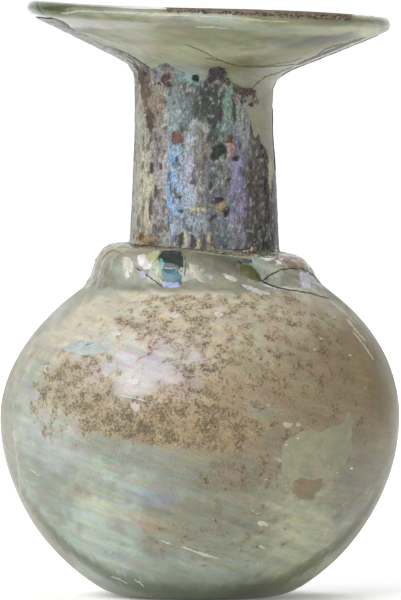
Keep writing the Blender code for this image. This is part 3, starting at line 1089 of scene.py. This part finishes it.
NECK_SPOTS = (
    # column, row, half width, half height, turn, colour, how proud in mm: lumps and pits, drawn crisply
    (143, 78, 4, 10, 10, (104, 88, 78), 0.10),
    (147, 96, 3, 9, 0, (120, 104, 92), 0.08),
    (151, 122, 4, 7, 0, (92, 76, 66), 0.12),
    (166, 77, 4, 3, 0, (90, 66, 52), 0.15),
    (169, 84, 4, 3, 0, (96, 72, 58), 0.15),
    (196, 78, 3, 3, 0, (34, 40, 44), -0.05),
    (178, 138, 5, 6, -20, (118, 92, 80), 0.22),
    (174, 135, 2, 2, 0, (92, 58, 44), 0.15),
    (219, 150, 8, 7, 0, (38, 46, 40), -0.03),
    (215, 156, 4, 4, 20, (40, 46, 42), -0.03),
    (231, 150, 4, 7, 0, (148, 124, 116), 0.30),
    (229, 139, 3, 5, 0, (92, 66, 52), 0.12),
    (236, 158, 4, 3, 0, (58, 60, 56), -0.05),
    (234, 110, 2, 13, 4, (64, 78, 70), -0.06),
    (222, 207, 5, 6, 0, (158, 140, 102), 0.30),
    (218, 200, 6, 3, 10, (46, 44, 46), -0.06),
    (226, 212, 4, 5, -30, (52, 52, 56), -0.06),
    (212, 218, 5, 2, 40, (50, 52, 60), -0.05),
    (198, 208, 4, 1.6, 5, (36, 40, 46), -0.05),
    (177, 159, 2, 3, 0, (56, 70, 96), -0.04),
    (180, 198, 2, 3, 0, (54, 72, 110), -0.04),
    (181, 211, 3, 2, 0, (50, 66, 104), -0.04),
    (152, 168, 2, 4, 0, (84, 72, 62), -0.04),
    (156, 192, 2, 5, 0, (92, 82, 74), -0.04),
    (161, 166, 2, 3, 0, (86, 78, 74), -0.04),
    (193, 182, 3, 2, 0, (84, 78, 84), -0.04),
    (211, 186, 2, 4, 0, (48, 54, 58), -0.05),
    (228, 180, 3, 2, 30, (54, 60, 68), -0.05),
    (151, 206, 2, 9, 0, (100, 92, 82), -0.04),
    (265, 186, 2, 5, 0, (50, 46, 44), -0.03),
    (270, 166, 2, 8, -14, (158, 154, 134), 0.06),
    (146, 240, 8, 4, 0, (172, 146, 112), 0.12),
    (152, 244, 4, 2, 0, (104, 78, 56), 0.10),
    (142, 236, 3, 2, 0, (112, 86, 62), 0.10),
    (186, 239, 2, 8, 0, (196, 182, 150), 0.12),
    (199, 244, 1.6, 6, 0, (200, 186, 152), 0.12),
    (209, 240, 2, 9, 0, (176, 162, 134), 0.12),
    (181, 240, 2.4, 8, 0, (66, 64, 66), -0.03),
    (193, 242, 3, 7, 0, (70, 68, 72), -0.03),
    (204, 242, 2, 7, 0, (78, 74, 74), -0.03),
    (199, 209, 9, 2, -6, (186, 178, 150), 0.06),
)

CLEAR_STRIP = [
    (250, 60), (247, 108), (250, 122), (255, 138), (258, 133), (266, 148), (273, 168), (282, 182),
    (300, 120), (300, 60),
]

CRUST_TOP = [
    (20, 8), (34, 13), (50, 17), (76, 31), (100, 42), (120, 50), (134, 58), (150, 69), (156, 68), (164, 62),
    (172, 66), (182, 71), (196, 74), (206, 80), (210, 68), (220, 66), (232, 82), (246, 88), (256, 84),
    (262, 90), (263, 110), (310, 110), (310, 400), (60, 400), (20, 60),
]


CRUST_THICK = 0.13 * MM
CRUST_LEAST = 0.02 * MM
CRUST_SUNK = 0.05 * MM

# How far past its outline the sheet goes on, in pixels, before its faces stop
CRUST_EDGE = 0.8


def paint_neck_crust(skin):
    """Iridescent crust in upright streaks: brown, mint, teal, sky blue, lilac, violet and charcoal."""
    p = skin.points
    long = (1, 1, 3.5)
    for spots, side in ((half_turned(p), 90), (p, 0)):
        facing = smooth(spots[..., 1], 4 * MM, -1 * MM)
        for column, row, wide, high, turn, colour, strength in NECK_MARKS:
            mask = blob(spots, column, row, wide, high, turn, 0.35, 0.55, 0.5, side, long)
            skin.lay(mask * strength * facing, seen(column, row, colour), grit=0.12)
    streak = noise(p, 0.9 * MM, 61, 3, (1, 1, 7))
    fine = noise(p, 0.42 * MM, 62, 2, (1, 1, 1.6))
    skin.tint(np.ones(fine.shape), (1 + 0.16 * streak + 0.20 * fine)[..., None])
    pits = smooth(noise(p, 0.8 * MM, 63, 2, (1, 1, 1.8)), 0.42, 0.62)
    skin.lay(pits * 0.6, NECK_PITS, proud=-0.05 * MM)
    flecks = smooth(noise(p, 0.5 * MM, 64, 2, (1, 1, 1.4)), 0.45, 0.6)
    skin.lay(flecks * 0.5, NECK_FLECKS, proud=0.03 * MM)
    for spots, side in ((p, 0), (half_turned(p), 70)):
        for column, row, wide, high, turn, colour, proud in NECK_SPOTS:
            mask = blob(spots, column, row, wide, high, turn, 0.18, 0.4, 0.8, side)
            skin.lay(mask, seen(column, row, colour), rough=0.6, proud=proud * MM)
    skin.proud += 0.05 * MM * streak + 0.03 * MM * fine


def make_neck_crust(material):
    """A raised sheet round the neck that leaves the clear strip free and sinks into the glass at its edge."""
    crease = wall.fine[np.argmax((wall.height > CREASE_LOW) & (wall.radius < CREASE_RADIUS))]
    stations = rows((crease, wall.outside(CRUST_HIGH), CRUST_PITCH))
    points, normals = wall.at(stations, CRUST_AROUND)
    skin = Skin(points, NECK_FILM, clear=0.0, rough=0.35, grit=0.12)
    paint_neck_crust(skin)
    ragged = 1.6 * noise(points, 1.4 * MM, 66, 3)
    cover = np.minimum(both_sides(points, CRUST_TOP), -both_sides(points, CLEAR_STRIP))
    cover = np.minimum(cover + ragged, (stations - stations[0])[:, None] / PIXEL + 4)
    height = CRUST_THICK * smooth(cover, 0.0, 2.5) + skin.proud
    height = np.where(cover > 0, np.maximum(height, CRUST_LEAST), -CRUST_SUNK)
    faces = grid_faces(len(stations), CRUST_AROUND)
    kept = (cover > -CRUST_EDGE).ravel()[faces].all(axis=1)
    sheet_piece("neck_crust", points + normals * height[..., None], faces[kept], skin, material)


# Flakes, chips and thin lines


# Scraps are cut and shaken in pixels. Their edges lie this close to the glass
CORNER_SHARES = (0.82, 0.18)
FLAKE_STEP = 1.2
FLAKE_SHAKE = 0.35
FLAKE_EDGE = 0.006 * MM
LINE_STEP = 1.1
LINE_EDGE = 0.004 * MM
LINE_LEAST = 0.1


class Scraps:
    """Thin flakes and lines of film on the flask, placed by pixels of the photo, that become one mesh."""

    def __init__(self, seed):
        self.random = np.random.default_rng(seed)
        self.points, self.faces, self.colours, self.rough = [], [], [], []

    def place(self, column, row, lift, turned):
        point, out = placed(column, row, turned)
        return point + out * lift

    def add(self, points, faces, colour, rough):
        start = len(self.points)
        self.points += points
        self.faces += [tuple(start + i for i in face) for face in faces]
        shade = 1 + 0.05 * self.random.standard_normal((len(points), 1))
        self.colours += list(np.clip(colour * shade, 0, 1))
        self.rough += [rough] * len(points)

    def flake(self, outline, colour, lift=0.05, rough=0.4, turned=False, rings=3):
        """A flake with a ragged outline that bulges a little off the glass."""
        corners = np.array(outline, dtype=float)
        after = np.roll(corners, -1, axis=0)
        more, less = CORNER_SHARES
        cut = (more * corners + less * after, less * corners + more * after)
        corners = np.stack(cut, axis=1).reshape(-1, 2)
        parts = []
        for start, end in zip(corners, np.roll(corners, -1, axis=0)):
            count = max(int(np.hypot(*(end - start)) / FLAKE_STEP), 1)
            steps = np.linspace(0, 1, count, endpoint=False)[:, None]
            parts.append(start + (end - start) * steps)
        edge = np.concatenate(parts)
        edge = edge + self.random.standard_normal(edge.shape) * FLAKE_SHAKE
        middle = edge.mean(axis=0)
        own = seen(*middle, colour)
        points = [self.place(*middle, lift * MM, turned)]
        for ring in range(1, rings + 1):
            share = ring / rings
            high = lift * MM * (1 - share**4) + FLAKE_EDGE
            points += [self.place(*(middle + (e - middle) * share), high, turned) for e in edge]
        count = len(edge)
        faces = [(0, 1 + i, 1 + (i + 1) % count) for i in range(count)]
        for ring in range(rings - 1):
            a, b = 1 + ring * count, 1 + (ring + 1) * count
            faces += [(a + i, b + i, b + (i + 1) % count, a + (i + 1) % count) for i in range(count)]
        self.add(points, faces, own, rough)

    def speck(self, column, row, size, wide):
        """The outline of a small six-cornered scrap, drawn out sideways by wide."""
        turns = np.sort(self.random.uniform(0, 2 * math.pi, 6))
        return [(column + wide * size * math.cos(a), row + size * math.sin(a)) for a in turns]

    def line(self, corners, wide, colour, lift=0.03, rough=0.4, turned=False, shake=0.25):
        """A thin line of film or soil. wide is in pixels, and it runs out to nothing at both ends."""
        corners = np.array(corners, dtype=float)
        reach = np.concatenate(([0.0], np.cumsum(np.hypot(*np.diff(corners, axis=0).T))))
        steps = np.linspace(0, reach[-1], max(int(reach[-1] / LINE_STEP), 4))
        track = np.stack([np.interp(steps, reach, corners[:, i]) for i in (0, 1)], axis=1)
        kernel = np.ones(3) / 3
        track[1:-1] = np.stack([np.convolve(track[:, i], kernel, "valid") for i in (0, 1)], axis=1)
        track = track + self.random.standard_normal(track.shape) * shake
        heading = np.gradient(track, axis=0)
        aside = np.stack((-heading[:, 1], heading[:, 0]), axis=1) / np.hypot(*heading.T)[:, None]
        taper = np.minimum(1, np.minimum(steps, reach[-1] - steps) / (3 * wide) + 0.12)
        half = 0.5 * wide * taper * (1 + 0.25 * self.random.standard_normal(len(track)))
        own = seen(*track[len(track) // 2], colour)
        points = []
        for middle, side, reach_out in zip(track, aside, np.maximum(half, LINE_LEAST)):
            points.append(self.place(*(middle - side * reach_out), LINE_EDGE, turned))
            points.append(self.place(*middle, lift * MM, turned))
            points.append(self.place(*(middle + side * reach_out), LINE_EDGE, turned))
        faces = []
        for i in range(len(track) - 1):
            a = 3 * i
            faces += [(a, a + 1, a + 4, a + 3), (a + 1, a + 2, a + 5, a + 4)]
        self.add(points, faces, own, rough)

    def piece(self, name, material):
        points = np.array(self.points)
        skin = Skin(points, np.array(self.colours), clear=0.0, grit=0.1)
        skin.rough = np.array(self.rough)
        mesh_piece(name, points, (), skin, material, self.faces)


BODY_FLAKES = (
    # outline in pixels, colour seen in the photo
    ([(282, 424), (286, 422), (290, 424), (294, 423), (292, 427), (287, 429)], (180, 174, 150)),
    ([(297, 423), (301, 424), (299, 427), (296, 426)], (176, 170, 146)),
    ([(257, 523), (262, 521), (268, 524), (267, 527), (260, 526)], (186, 186, 166)),
    ([(258, 546), (263, 546), (267, 549), (262, 550)], (176, 176, 156)),
    ([(324, 560), (329, 557), (334, 559), (332, 563), (327, 565)], (176, 172, 150)),
    ([(276, 459), (280, 458), (284, 461), (282, 464)], (172, 166, 140)),
    (
        [(62, 350), (70, 343), (82, 340), (90, 344), (99, 341), (103, 347), (97, 354), (86, 356), (76, 353)],
        (205, 216, 212),
    ),
    ([(48, 318), (54, 309), (60, 305), (68, 303), (70, 308), (62, 314), (55, 320)], (214, 220, 212)),
    ([(169, 315), (174, 311), (180, 313), (178, 317), (171, 318)], (226, 226, 220)),
    ([(213, 313), (219, 311), (224, 315), (218, 318)], (214, 214, 202)),
    ([(130, 404), (135, 402), (140, 406), (138, 412), (132, 410)], (216, 205, 192)),
    ([(110, 332), (118, 330), (122, 334), (114, 336)], (232, 232, 226)),
    ([(12, 431), (17, 430), (20, 436), (17, 442), (13, 440)], (206, 206, 190)),
)

BODY_LINES = (
    # corners in pixels, width in pixels, colour seen in the photo
    (
        [(10, 393), (13, 404), (14, 418), (14, 436), (16, 452), (18, 470), (19, 482), (21, 494)],
        1.3, (196, 198, 180),
    ),
    ([(4, 446), (9, 452), (15, 458), (17, 462)], 0.8, (192, 195, 178)),
    ([(29, 469), (36, 474), (41, 476)], 1.2, (206, 210, 198)),
    ([(18, 478), (27, 481), (36, 486)], 0.9, (196, 200, 184)),
    ([(119, 395), (128, 397), (138, 399), (147, 402)], 1.0, (224, 221, 212)),
    ([(160, 541), (166, 543), (172, 545)], 1.0, (206, 208, 196)),
    ([(181, 547), (192, 551), (204, 556), (214, 558)], 1.3, (212, 214, 204)),
    ([(196, 552), (208, 555), (220, 560)], 1.0, (200, 202, 190)),
    ([(110, 577), (120, 580), (128, 585)], 1.2, (186, 196, 186)),
    ([(134, 580), (140, 584), (144, 588)], 1.0, (190, 198, 188)),
    ([(250, 510), (256, 514), (262, 513)], 1.0, (190, 190, 176)),
    ([(346, 318), (356, 330), (366, 342)], 1.6, (172, 170, 150)),
    ([(352, 330), (364, 345), (374, 360)], 1.3, (168, 164, 142)),
    ([(330, 300), (344, 312), (356, 324)], 1.5, (176, 174, 156)),
)


# An open bubble: column, row and radius
BUBBLE = (47.5, 369, 3.2)
BUBBLE_TONE = (224, 222, 210)

# Specks scattered over the body, greener below the low row
BODY_SPECKS = 110
SPECK_COLUMNS = (30, 370)
SPECK_ROWS = (300, 575)
SPECK_SIZES = (0.35, 1.1)
SPECK_REACH = 170
BODY_COLUMN = 200
BODY_ROW = 420
LOW_ROW = 470
HIGH_SPECK = (200, 194, 176)
LOW_SPECK = (172, 176, 162)


def ring_of(column, row, radius):
    """Corners in pixels of a small ring, such as an open bubble in the glass."""
    turns = np.linspace(0, 2 * math.pi, 15)
    return [(column + radius * math.cos(a), row + radius * math.sin(a)) for a in turns]


def make_body_flakes(material):
    """Chips, scratches and film edges on the body, and small flakes scattered over it."""
    scraps = Scraps(SEED)
    for turned in (False, True):
        for outline, colour in BODY_FLAKES:
            scraps.flake(outline, colour, turned=turned)
        for corners, wide, colour in BODY_LINES:
            scraps.line(corners, wide, colour, turned=turned)
        scraps.line(ring_of(*BUBBLE), 1.7, BUBBLE_TONE, turned=turned, shake=0.1)
        for _ in range(BODY_SPECKS):
            column = scraps.random.uniform(*SPECK_COLUMNS)
            row = scraps.random.uniform(*SPECK_ROWS)
            if math.hypot(column - BODY_COLUMN, row - BODY_ROW) > SPECK_REACH:
                continue
            size = scraps.random.uniform(*SPECK_SIZES)
            outline = scraps.speck(column, row, size, 1.7)
            shade = HIGH_SPECK if row < LOW_ROW else LOW_SPECK
            scraps.flake(outline, shade, 0.03, turned=turned, rings=1)
    scraps.piece("body_flakes", material)


COLLAR_FLAKES_AND_GLINTS = (
    # The first three are painted glints: white and lavender highlights where the light catches the collar's
    # left
    ([(122, 258), (128, 256), (133, 262), (134, 270), (129, 279), (123, 274)], (226, 224, 212)),
    ([(137, 255), (145, 254), (151, 260), (152, 268), (145, 270), (138, 264)], (242, 240, 240)),
    ([(138, 270), (145, 271), (146, 277), (140, 278)], (206, 200, 222)),
    ([(144, 257), (151, 252), (160, 249), (157, 258), (151, 264), (146, 262)], (200, 205, 164)),
    ([(150, 266), (157, 259), (163, 270), (163, 285), (156, 276)], (196, 206, 180)),
    (
        [(158, 253), (168, 250), (181, 251), (184, 262), (182, 274), (176, 267), (168, 268), (161, 266)],
        (64, 76, 72),
    ),
    ([(161, 268), (169, 269), (176, 268), (182, 276), (181, 286), (170, 287), (163, 285)], (76, 122, 138)),
    ([(162, 281), (169, 279), (175, 283), (181, 280), (180, 287), (170, 288), (163, 287)], (186, 192, 226)),
    ([(159, 258), (162, 256), (165, 264), (163, 272), (160, 266)], (128, 186, 176)),
    # Painted highlight along the same pale streak
    ([(188, 262), (196, 266), (203, 276), (205, 283), (198, 281), (191, 273)], (190, 192, 172)),
    ([(222, 273), (230, 275), (238, 279), (236, 282), (227, 279)], (206, 206, 198)),
    ([(240, 284), (250, 286), (262, 290), (272, 294), (262, 295), (248, 290)], (202, 202, 196)),
    ([(238, 262), (248, 263), (258, 272), (262, 282), (252, 280), (242, 274)], (92, 94, 60)),
    ([(240, 259), (250, 259), (254, 263), (246, 264)], (82, 92, 100)),
    ([(299, 272), (305, 271), (312, 284), (308, 290), (301, 288)], (164, 166, 170)),
    ([(286, 259), (300, 258), (314, 268), (304, 268), (292, 266)], (158, 143, 122)),
)

COLLAR_LINES = (
    ([(135, 267), (145, 274), (155, 281), (164, 288)], 1.3, (84, 76, 66)),
    (
        [(236, 260), (246, 266), (256, 275), (263, 282), (276, 287), (290, 290), (310, 293), (330, 299)],
        1.4, (70, 68, 50),
    ),
    ([(262, 281), (270, 275), (280, 270), (292, 268), (304, 269), (312, 274), (320, 281)], 1.4, (70, 66, 50)),
    ([(100, 262), (104, 256), (112, 250), (124, 254)], 1.2, (150, 150, 126)),
    ([(183, 252), (186, 264), (184, 276)], 1.2, (96, 104, 92)),
    ([(158, 256), (162, 268), (163, 282)], 1.0, (60, 70, 64)),
    ([(150, 249), (182, 249), (215, 254), (240, 257), (270, 257), (298, 258)], 1.2, (160, 150, 130)),
    ([(120, 247), (136, 249), (150, 250)], 1.2, (186, 176, 148)),
)

MOUTH_LINES = (
    ([(60, 14), (80, 11), (110, 12), (140, 14)], 1.5, (196, 199, 182)),
    ([(146, 15), (170, 15), (200, 16), (235, 18), (262, 20)], 1.3, (206, 204, 186)),
    ([(195, 27), (212, 27), (228, 29)], 1.0, (190, 192, 172)),
    (
        [(185, 44), (200, 50), (215, 58), (225, 62), (240, 66), (262, 66), (290, 62), (302, 58)],
        1.1, (120, 116, 82),
    ),
    ([(205, 58), (222, 61), (236, 66)], 1.0, (112, 108, 78)),
    ([(50, 17), (62, 22), (76, 32)], 2.2, (98, 93, 74)),
    ([(80, 32), (95, 36), (110, 42), (130, 48), (150, 56), (172, 62)], 1.6, (182, 182, 160)),
    ([(105, 46), (118, 50), (130, 55), (142, 63), (152, 70)], 1.7, (86, 82, 70)),
    ([(240, 66), (258, 67), (278, 66), (296, 64)], 1.0, (108, 104, 78)),
    ([(252, 88), (256, 84), (261, 80), (266, 76), (275, 74), (284, 70), (294, 66)], 1.1, (108, 102, 78)),
    ([(296, 65), (310, 59), (330, 51), (350, 43), (366, 37)], 2.6, (114, 110, 86)),
    ([(318, 55), (325, 49), (335, 46), (345, 43)], 1.2, (100, 96, 74)),
    ([(300, 56), (316, 50), (326, 46)], 1.2, (168, 166, 142)),
    ([(36, 2), (38, 8), (44, 15)], 1.6, (104, 106, 92)),
    ([(352, 19), (366, 20), (380, 21)], 1.0, (120, 112, 84)),
    ([(240, 20), (262, 21), (290, 22)], 1.0, (176, 180, 120)),
)


# Crumbs along the right half of the lip, from its first column and row
LIP_CRUMBS = 260
LIP_COLUMN = 168
LIP_WIDE = 182
LIP_ROW = 10.5
LIP_DROP = 7.5
LIP_SHAKE = 1.5
CRUMB_SIZES = (0.5, 1.4)
CRUMB_SHADES = ((70, 64, 62), (96, 88, 84), (120, 104, 92), (150, 142, 130), (56, 52, 54))


def make_collar_flakes(material):
    """The cracked and flaked glass of the collar with its painted glints and painted highlight, and the
    mouth's film lines and the crumbs on its lip.
    """
    scraps = Scraps(SEED + 1)
    for turned in (False, True):
        for outline, colour in COLLAR_FLAKES_AND_GLINTS:
            scraps.flake(outline, colour, 0.10, 0.16, turned)
        for corners, wide, colour in COLLAR_LINES + MOUTH_LINES:
            scraps.line(corners, wide, colour, 0.05, 0.5, turned)
        for _ in range(LIP_CRUMBS):
            share = scraps.random.uniform()
            column = LIP_COLUMN + LIP_WIDE * share
            shift = scraps.random.uniform(-LIP_SHAKE, LIP_SHAKE) * (0.4 + share)
            row = LIP_ROW + LIP_DROP * share + shift
            size = scraps.random.uniform(*CRUMB_SIZES)
            outline = scraps.speck(column, row, size, 1.4)
            shade = scraps.random.choice(CRUMB_SHADES)
            scraps.flake(outline, shade, 0.06, 0.7, turned, 1)
    scraps.piece("collar_flakes_and_glints", material)


# Soil


LUMPS = (
    # column, row, half width, half height, how many crumbs, their size in pixels, colour seen in the photo
    (217, 73, 8, 6, 18, 3.0, (78, 66, 66)),
    (226, 82, 5, 4, 8, 2.2, (96, 78, 66)),
    (212, 79, 4, 3, 6, 2.0, (60, 54, 58)),
    (238, 90, 6, 4, 10, 2.1, (96, 72, 56)),
    (236, 99, 3, 4, 5, 2.6, (138, 115, 98)),
    (243, 98, 4, 6, 9, 1.9, (82, 64, 50)),
    (250, 92, 5, 4, 9, 2.1, (88, 66, 52)),
    (254, 100, 3, 4, 5, 2.6, (140, 117, 98)),
    (251, 105, 4, 2, 4, 1.7, (70, 52, 42)),
    (167, 80, 6, 4, 7, 1.8, (104, 80, 64)),
    (158, 84, 3, 3, 4, 1.6, (98, 76, 64)),
    (144, 72, 4, 6, 7, 1.8, (110, 84, 72)),
    (178, 139, 4, 6, 9, 2.0, (112, 86, 72)),
    (231, 150, 3, 6, 8, 2.3, (138, 116, 108)),
    (222, 207, 4, 5, 10, 2.2, (150, 132, 96)),
    (249, 250, 6, 5, 16, 2.3, (180, 148, 112)),
    (145, 241, 6, 4, 8, 1.6, (170, 142, 108)),
)


# The line of crumbs in the crease between the neck and the collar
CREASE_COLUMNS = (134, 150, 182, 215, 240, 282)
CREASE_ROWS = (246, 248, 248, 252, 255, 256.5)
CREASE_STEP = 1.3
CREASE_SOIL = (164, 148, 126)

CRUMB_FLATTENED = 0.35
CRUMB_LIFT = 0.10 * MM


def make_soil_crumbs(material):
    """Lumps of dry soil in the corner under the mouth, on the neck's crust and round the neck's foot."""
    random = np.random.default_rng(SEED + 2)
    ball = bmesh.new()
    bmesh.ops.create_icosphere(ball, subdivisions=2, radius=1.0)
    shape = np.array([v.co for v in ball.verts])
    faces = np.array([[v.index for v in f.verts] for f in ball.faces])
    ball.free()
    crumbs = []
    for turned in (False, True):
        for column, row, wide, high, count, size, colour in LUMPS:
            for _ in range(count):
                angle, reach = random.uniform(0, 2 * math.pi), math.sqrt(random.uniform(0, 1))
                place = (column + wide * reach * math.cos(angle), row + high * reach * math.sin(angle))
                crumbs.append((place, size * random.uniform(0.5, 1.2) * (1.2 - 0.5 * reach), colour, turned))
        for column in np.arange(CREASE_COLUMNS[0], CREASE_COLUMNS[-1], CREASE_STEP):
            row = np.interp(column, CREASE_COLUMNS, CREASE_ROWS)
            place = (column, row + random.normal() * 0.7)
            crumbs.append((place, random.uniform(0.4, 1.0), CREASE_SOIL, turned))
    points, colours = [], []
    for i, ((column, row), size, colour, turned) in enumerate(crumbs):
        middle, out = placed(column, row, turned)
        lumpy = shape * (1 + 0.28 * noise(shape + 7.0 * i, 0.8, 71, 2))[:, None]
        flat = lumpy - out * (lumpy @ out)[:, None] * CRUMB_FLATTENED
        crumb = middle + out * (CRUMB_LIFT + 0.3 * size * PIXEL) + flat * size * PIXEL
        points.append(crumb)
        own = seen(column, row, colour)
        own = (own.mean() + 0.7 * (own - own.mean())) * random.uniform(0.6, 1.3)
        colours.append(np.tile(own, (len(shape), 1)))
    points, colours = np.concatenate(points), np.concatenate(colours)
    grid = (faces[None] + len(shape) * np.arange(len(crumbs))[:, None, None]).reshape(-1, 3)
    mesh_piece("soil_crumbs", points, (grid,), Skin(points, colours), material)


# The stage


STAGE_NEAR = -4.0
STAGE_FAR = 2.5
STAGE_SIDE = 4.0
STAGE_RISE = 4.0
STAGE_BEND = 1.0
PAPER = (0.88, 0.88, 0.88, 1), (0.91, 0.91, 0.91, 1)

# The paper glows a little in front of the flask and more behind it, between two depths
GLOW_DEPTHS = (-0.02, 0.07)
GLOWS = (0.05, 0.62)
AIR = 0.14

LIGHTS = (
    # name, place, aim, width, height, watts
    ("key", KEY_PLACE, MIDDLE, 1.3, 1.0, 34.0),
    ("fill", (1.0, -0.8, 0.35), MIDDLE, 0.5, 0.8, 3.0),
    ("back", (0.2, 0.9, 1.1), (0, 0.3, 0), 0.9, 0.6, 9.0),
)


def area_light(name, place, aim, wide, high, power):
    data = bpy.data.lights.new(name, "AREA")
    data.shape = "RECTANGLE"
    data.size, data.size_y = wide, high
    data.energy = power
    lamp = bpy.data.objects.new(name, data)
    lamp.location = place
    lamp.rotation_euler = (Vector(aim) - Vector(place)).to_track_quat("-Z", "Y").to_euler()
    bpy.context.scene.collection.objects.link(lamp)


def make_stage():
    """A pale seamless floor that turns up behind, soft lights and a pale room."""
    turns = np.linspace(0, math.pi / 2, 12)
    bend = [(STAGE_FAR + STAGE_BEND * math.sin(a), STAGE_BEND * (1 - math.cos(a))) for a in turns]
    section = [(STAGE_NEAR, 0.0)] + bend + [(STAGE_FAR + STAGE_BEND, STAGE_RISE)]
    verts = [(x, y, z) for y, z in section for x in (-STAGE_SIDE, STAGE_SIDE)]
    faces = [(2 * i, 2 * i + 1, 2 * i + 3, 2 * i + 2) for i in range(len(section) - 1)]
    mesh = bpy.data.meshes.new("backdrop")
    mesh.from_pydata(verts, [], faces)
    mesh.shade_smooth()
    n = Nodes("pale_paper")
    place = n.add("TexCoord").outputs["Object"]
    n.give(n.shader, "Base Color", n.blended(n.noise(place, 3.0), *PAPER))
    n.shader.inputs["Roughness"].default_value = 0.9
    n.shader.inputs["Emission Color"].default_value = (1, 1, 1, 1)
    depth = n.add("SeparateXYZ", Vector=place).outputs["Y"]
    n.give(n.shader, "Emission Strength", n.spread(depth, *GLOW_DEPTHS, *GLOWS))
    mesh.materials.append(n.material)
    backdrop = bpy.data.objects.new("backdrop", mesh)
    bpy.context.scene.collection.objects.link(backdrop)
    world = bpy.data.worlds.new("room")
    world.use_nodes = True
    air = world.node_tree.nodes["Background"]
    air.inputs["Color"].default_value = (1, 1, 1, 1)
    air.inputs["Strength"].default_value = AIR
    bpy.context.scene.world = world
    for light in LIGHTS:
        area_light(*light)


def make_camera():
    """The photo's view: far away, a little above, the flask filling the frame."""
    middle = in_plane(PHOTO_WIDE / 2, PHOTO_HIGH / 2)
    data = bpy.data.cameras.new("photo_view")
    data.sensor_fit = "VERTICAL"
    data.sensor_height = 36.0
    data.lens = data.sensor_height * CAMERA_FAR / (PHOTO_HIGH * PIXEL)
    data.clip_start, data.clip_end = 0.05, 50.0
    camera = bpy.data.objects.new("photo_view", data)
    camera.location = EYE
    camera.rotation_euler = (middle - EYE).to_track_quat("-Z", "Y").to_euler()
    bpy.context.scene.collection.objects.link(camera)
    bpy.context.scene.camera = camera


def main():
    scene = bpy.context.scene
    scene.view_settings.view_transform = "Standard"
    scene.cycles.use_denoising = True
    make_camera()
    make_stage()
    make_vessel(weathered_glass("film_on_glass", (0.13, 0.13, 0.75), -19, 0.0001, 0.14, 0.75))
    make_body_flakes(weathered_glass("loose_film", (0.5, 0.5, 0.5), 0, 0.00005, 0.12, 0.5))
    make_collar_flakes(weathered_glass("glassy_flakes_and_glints", (0.5, 0.5, 0.5), 0, 0.00004, 0.10, 0.7))
    make_soil_crumbs(soil_material())
    make_neck_crust(weathered_glass("iridescent_crust", (2.4, 2.4, 0.5), 0, 0.00008, 0.6, 1.1, 1.4, 0.6))


main()
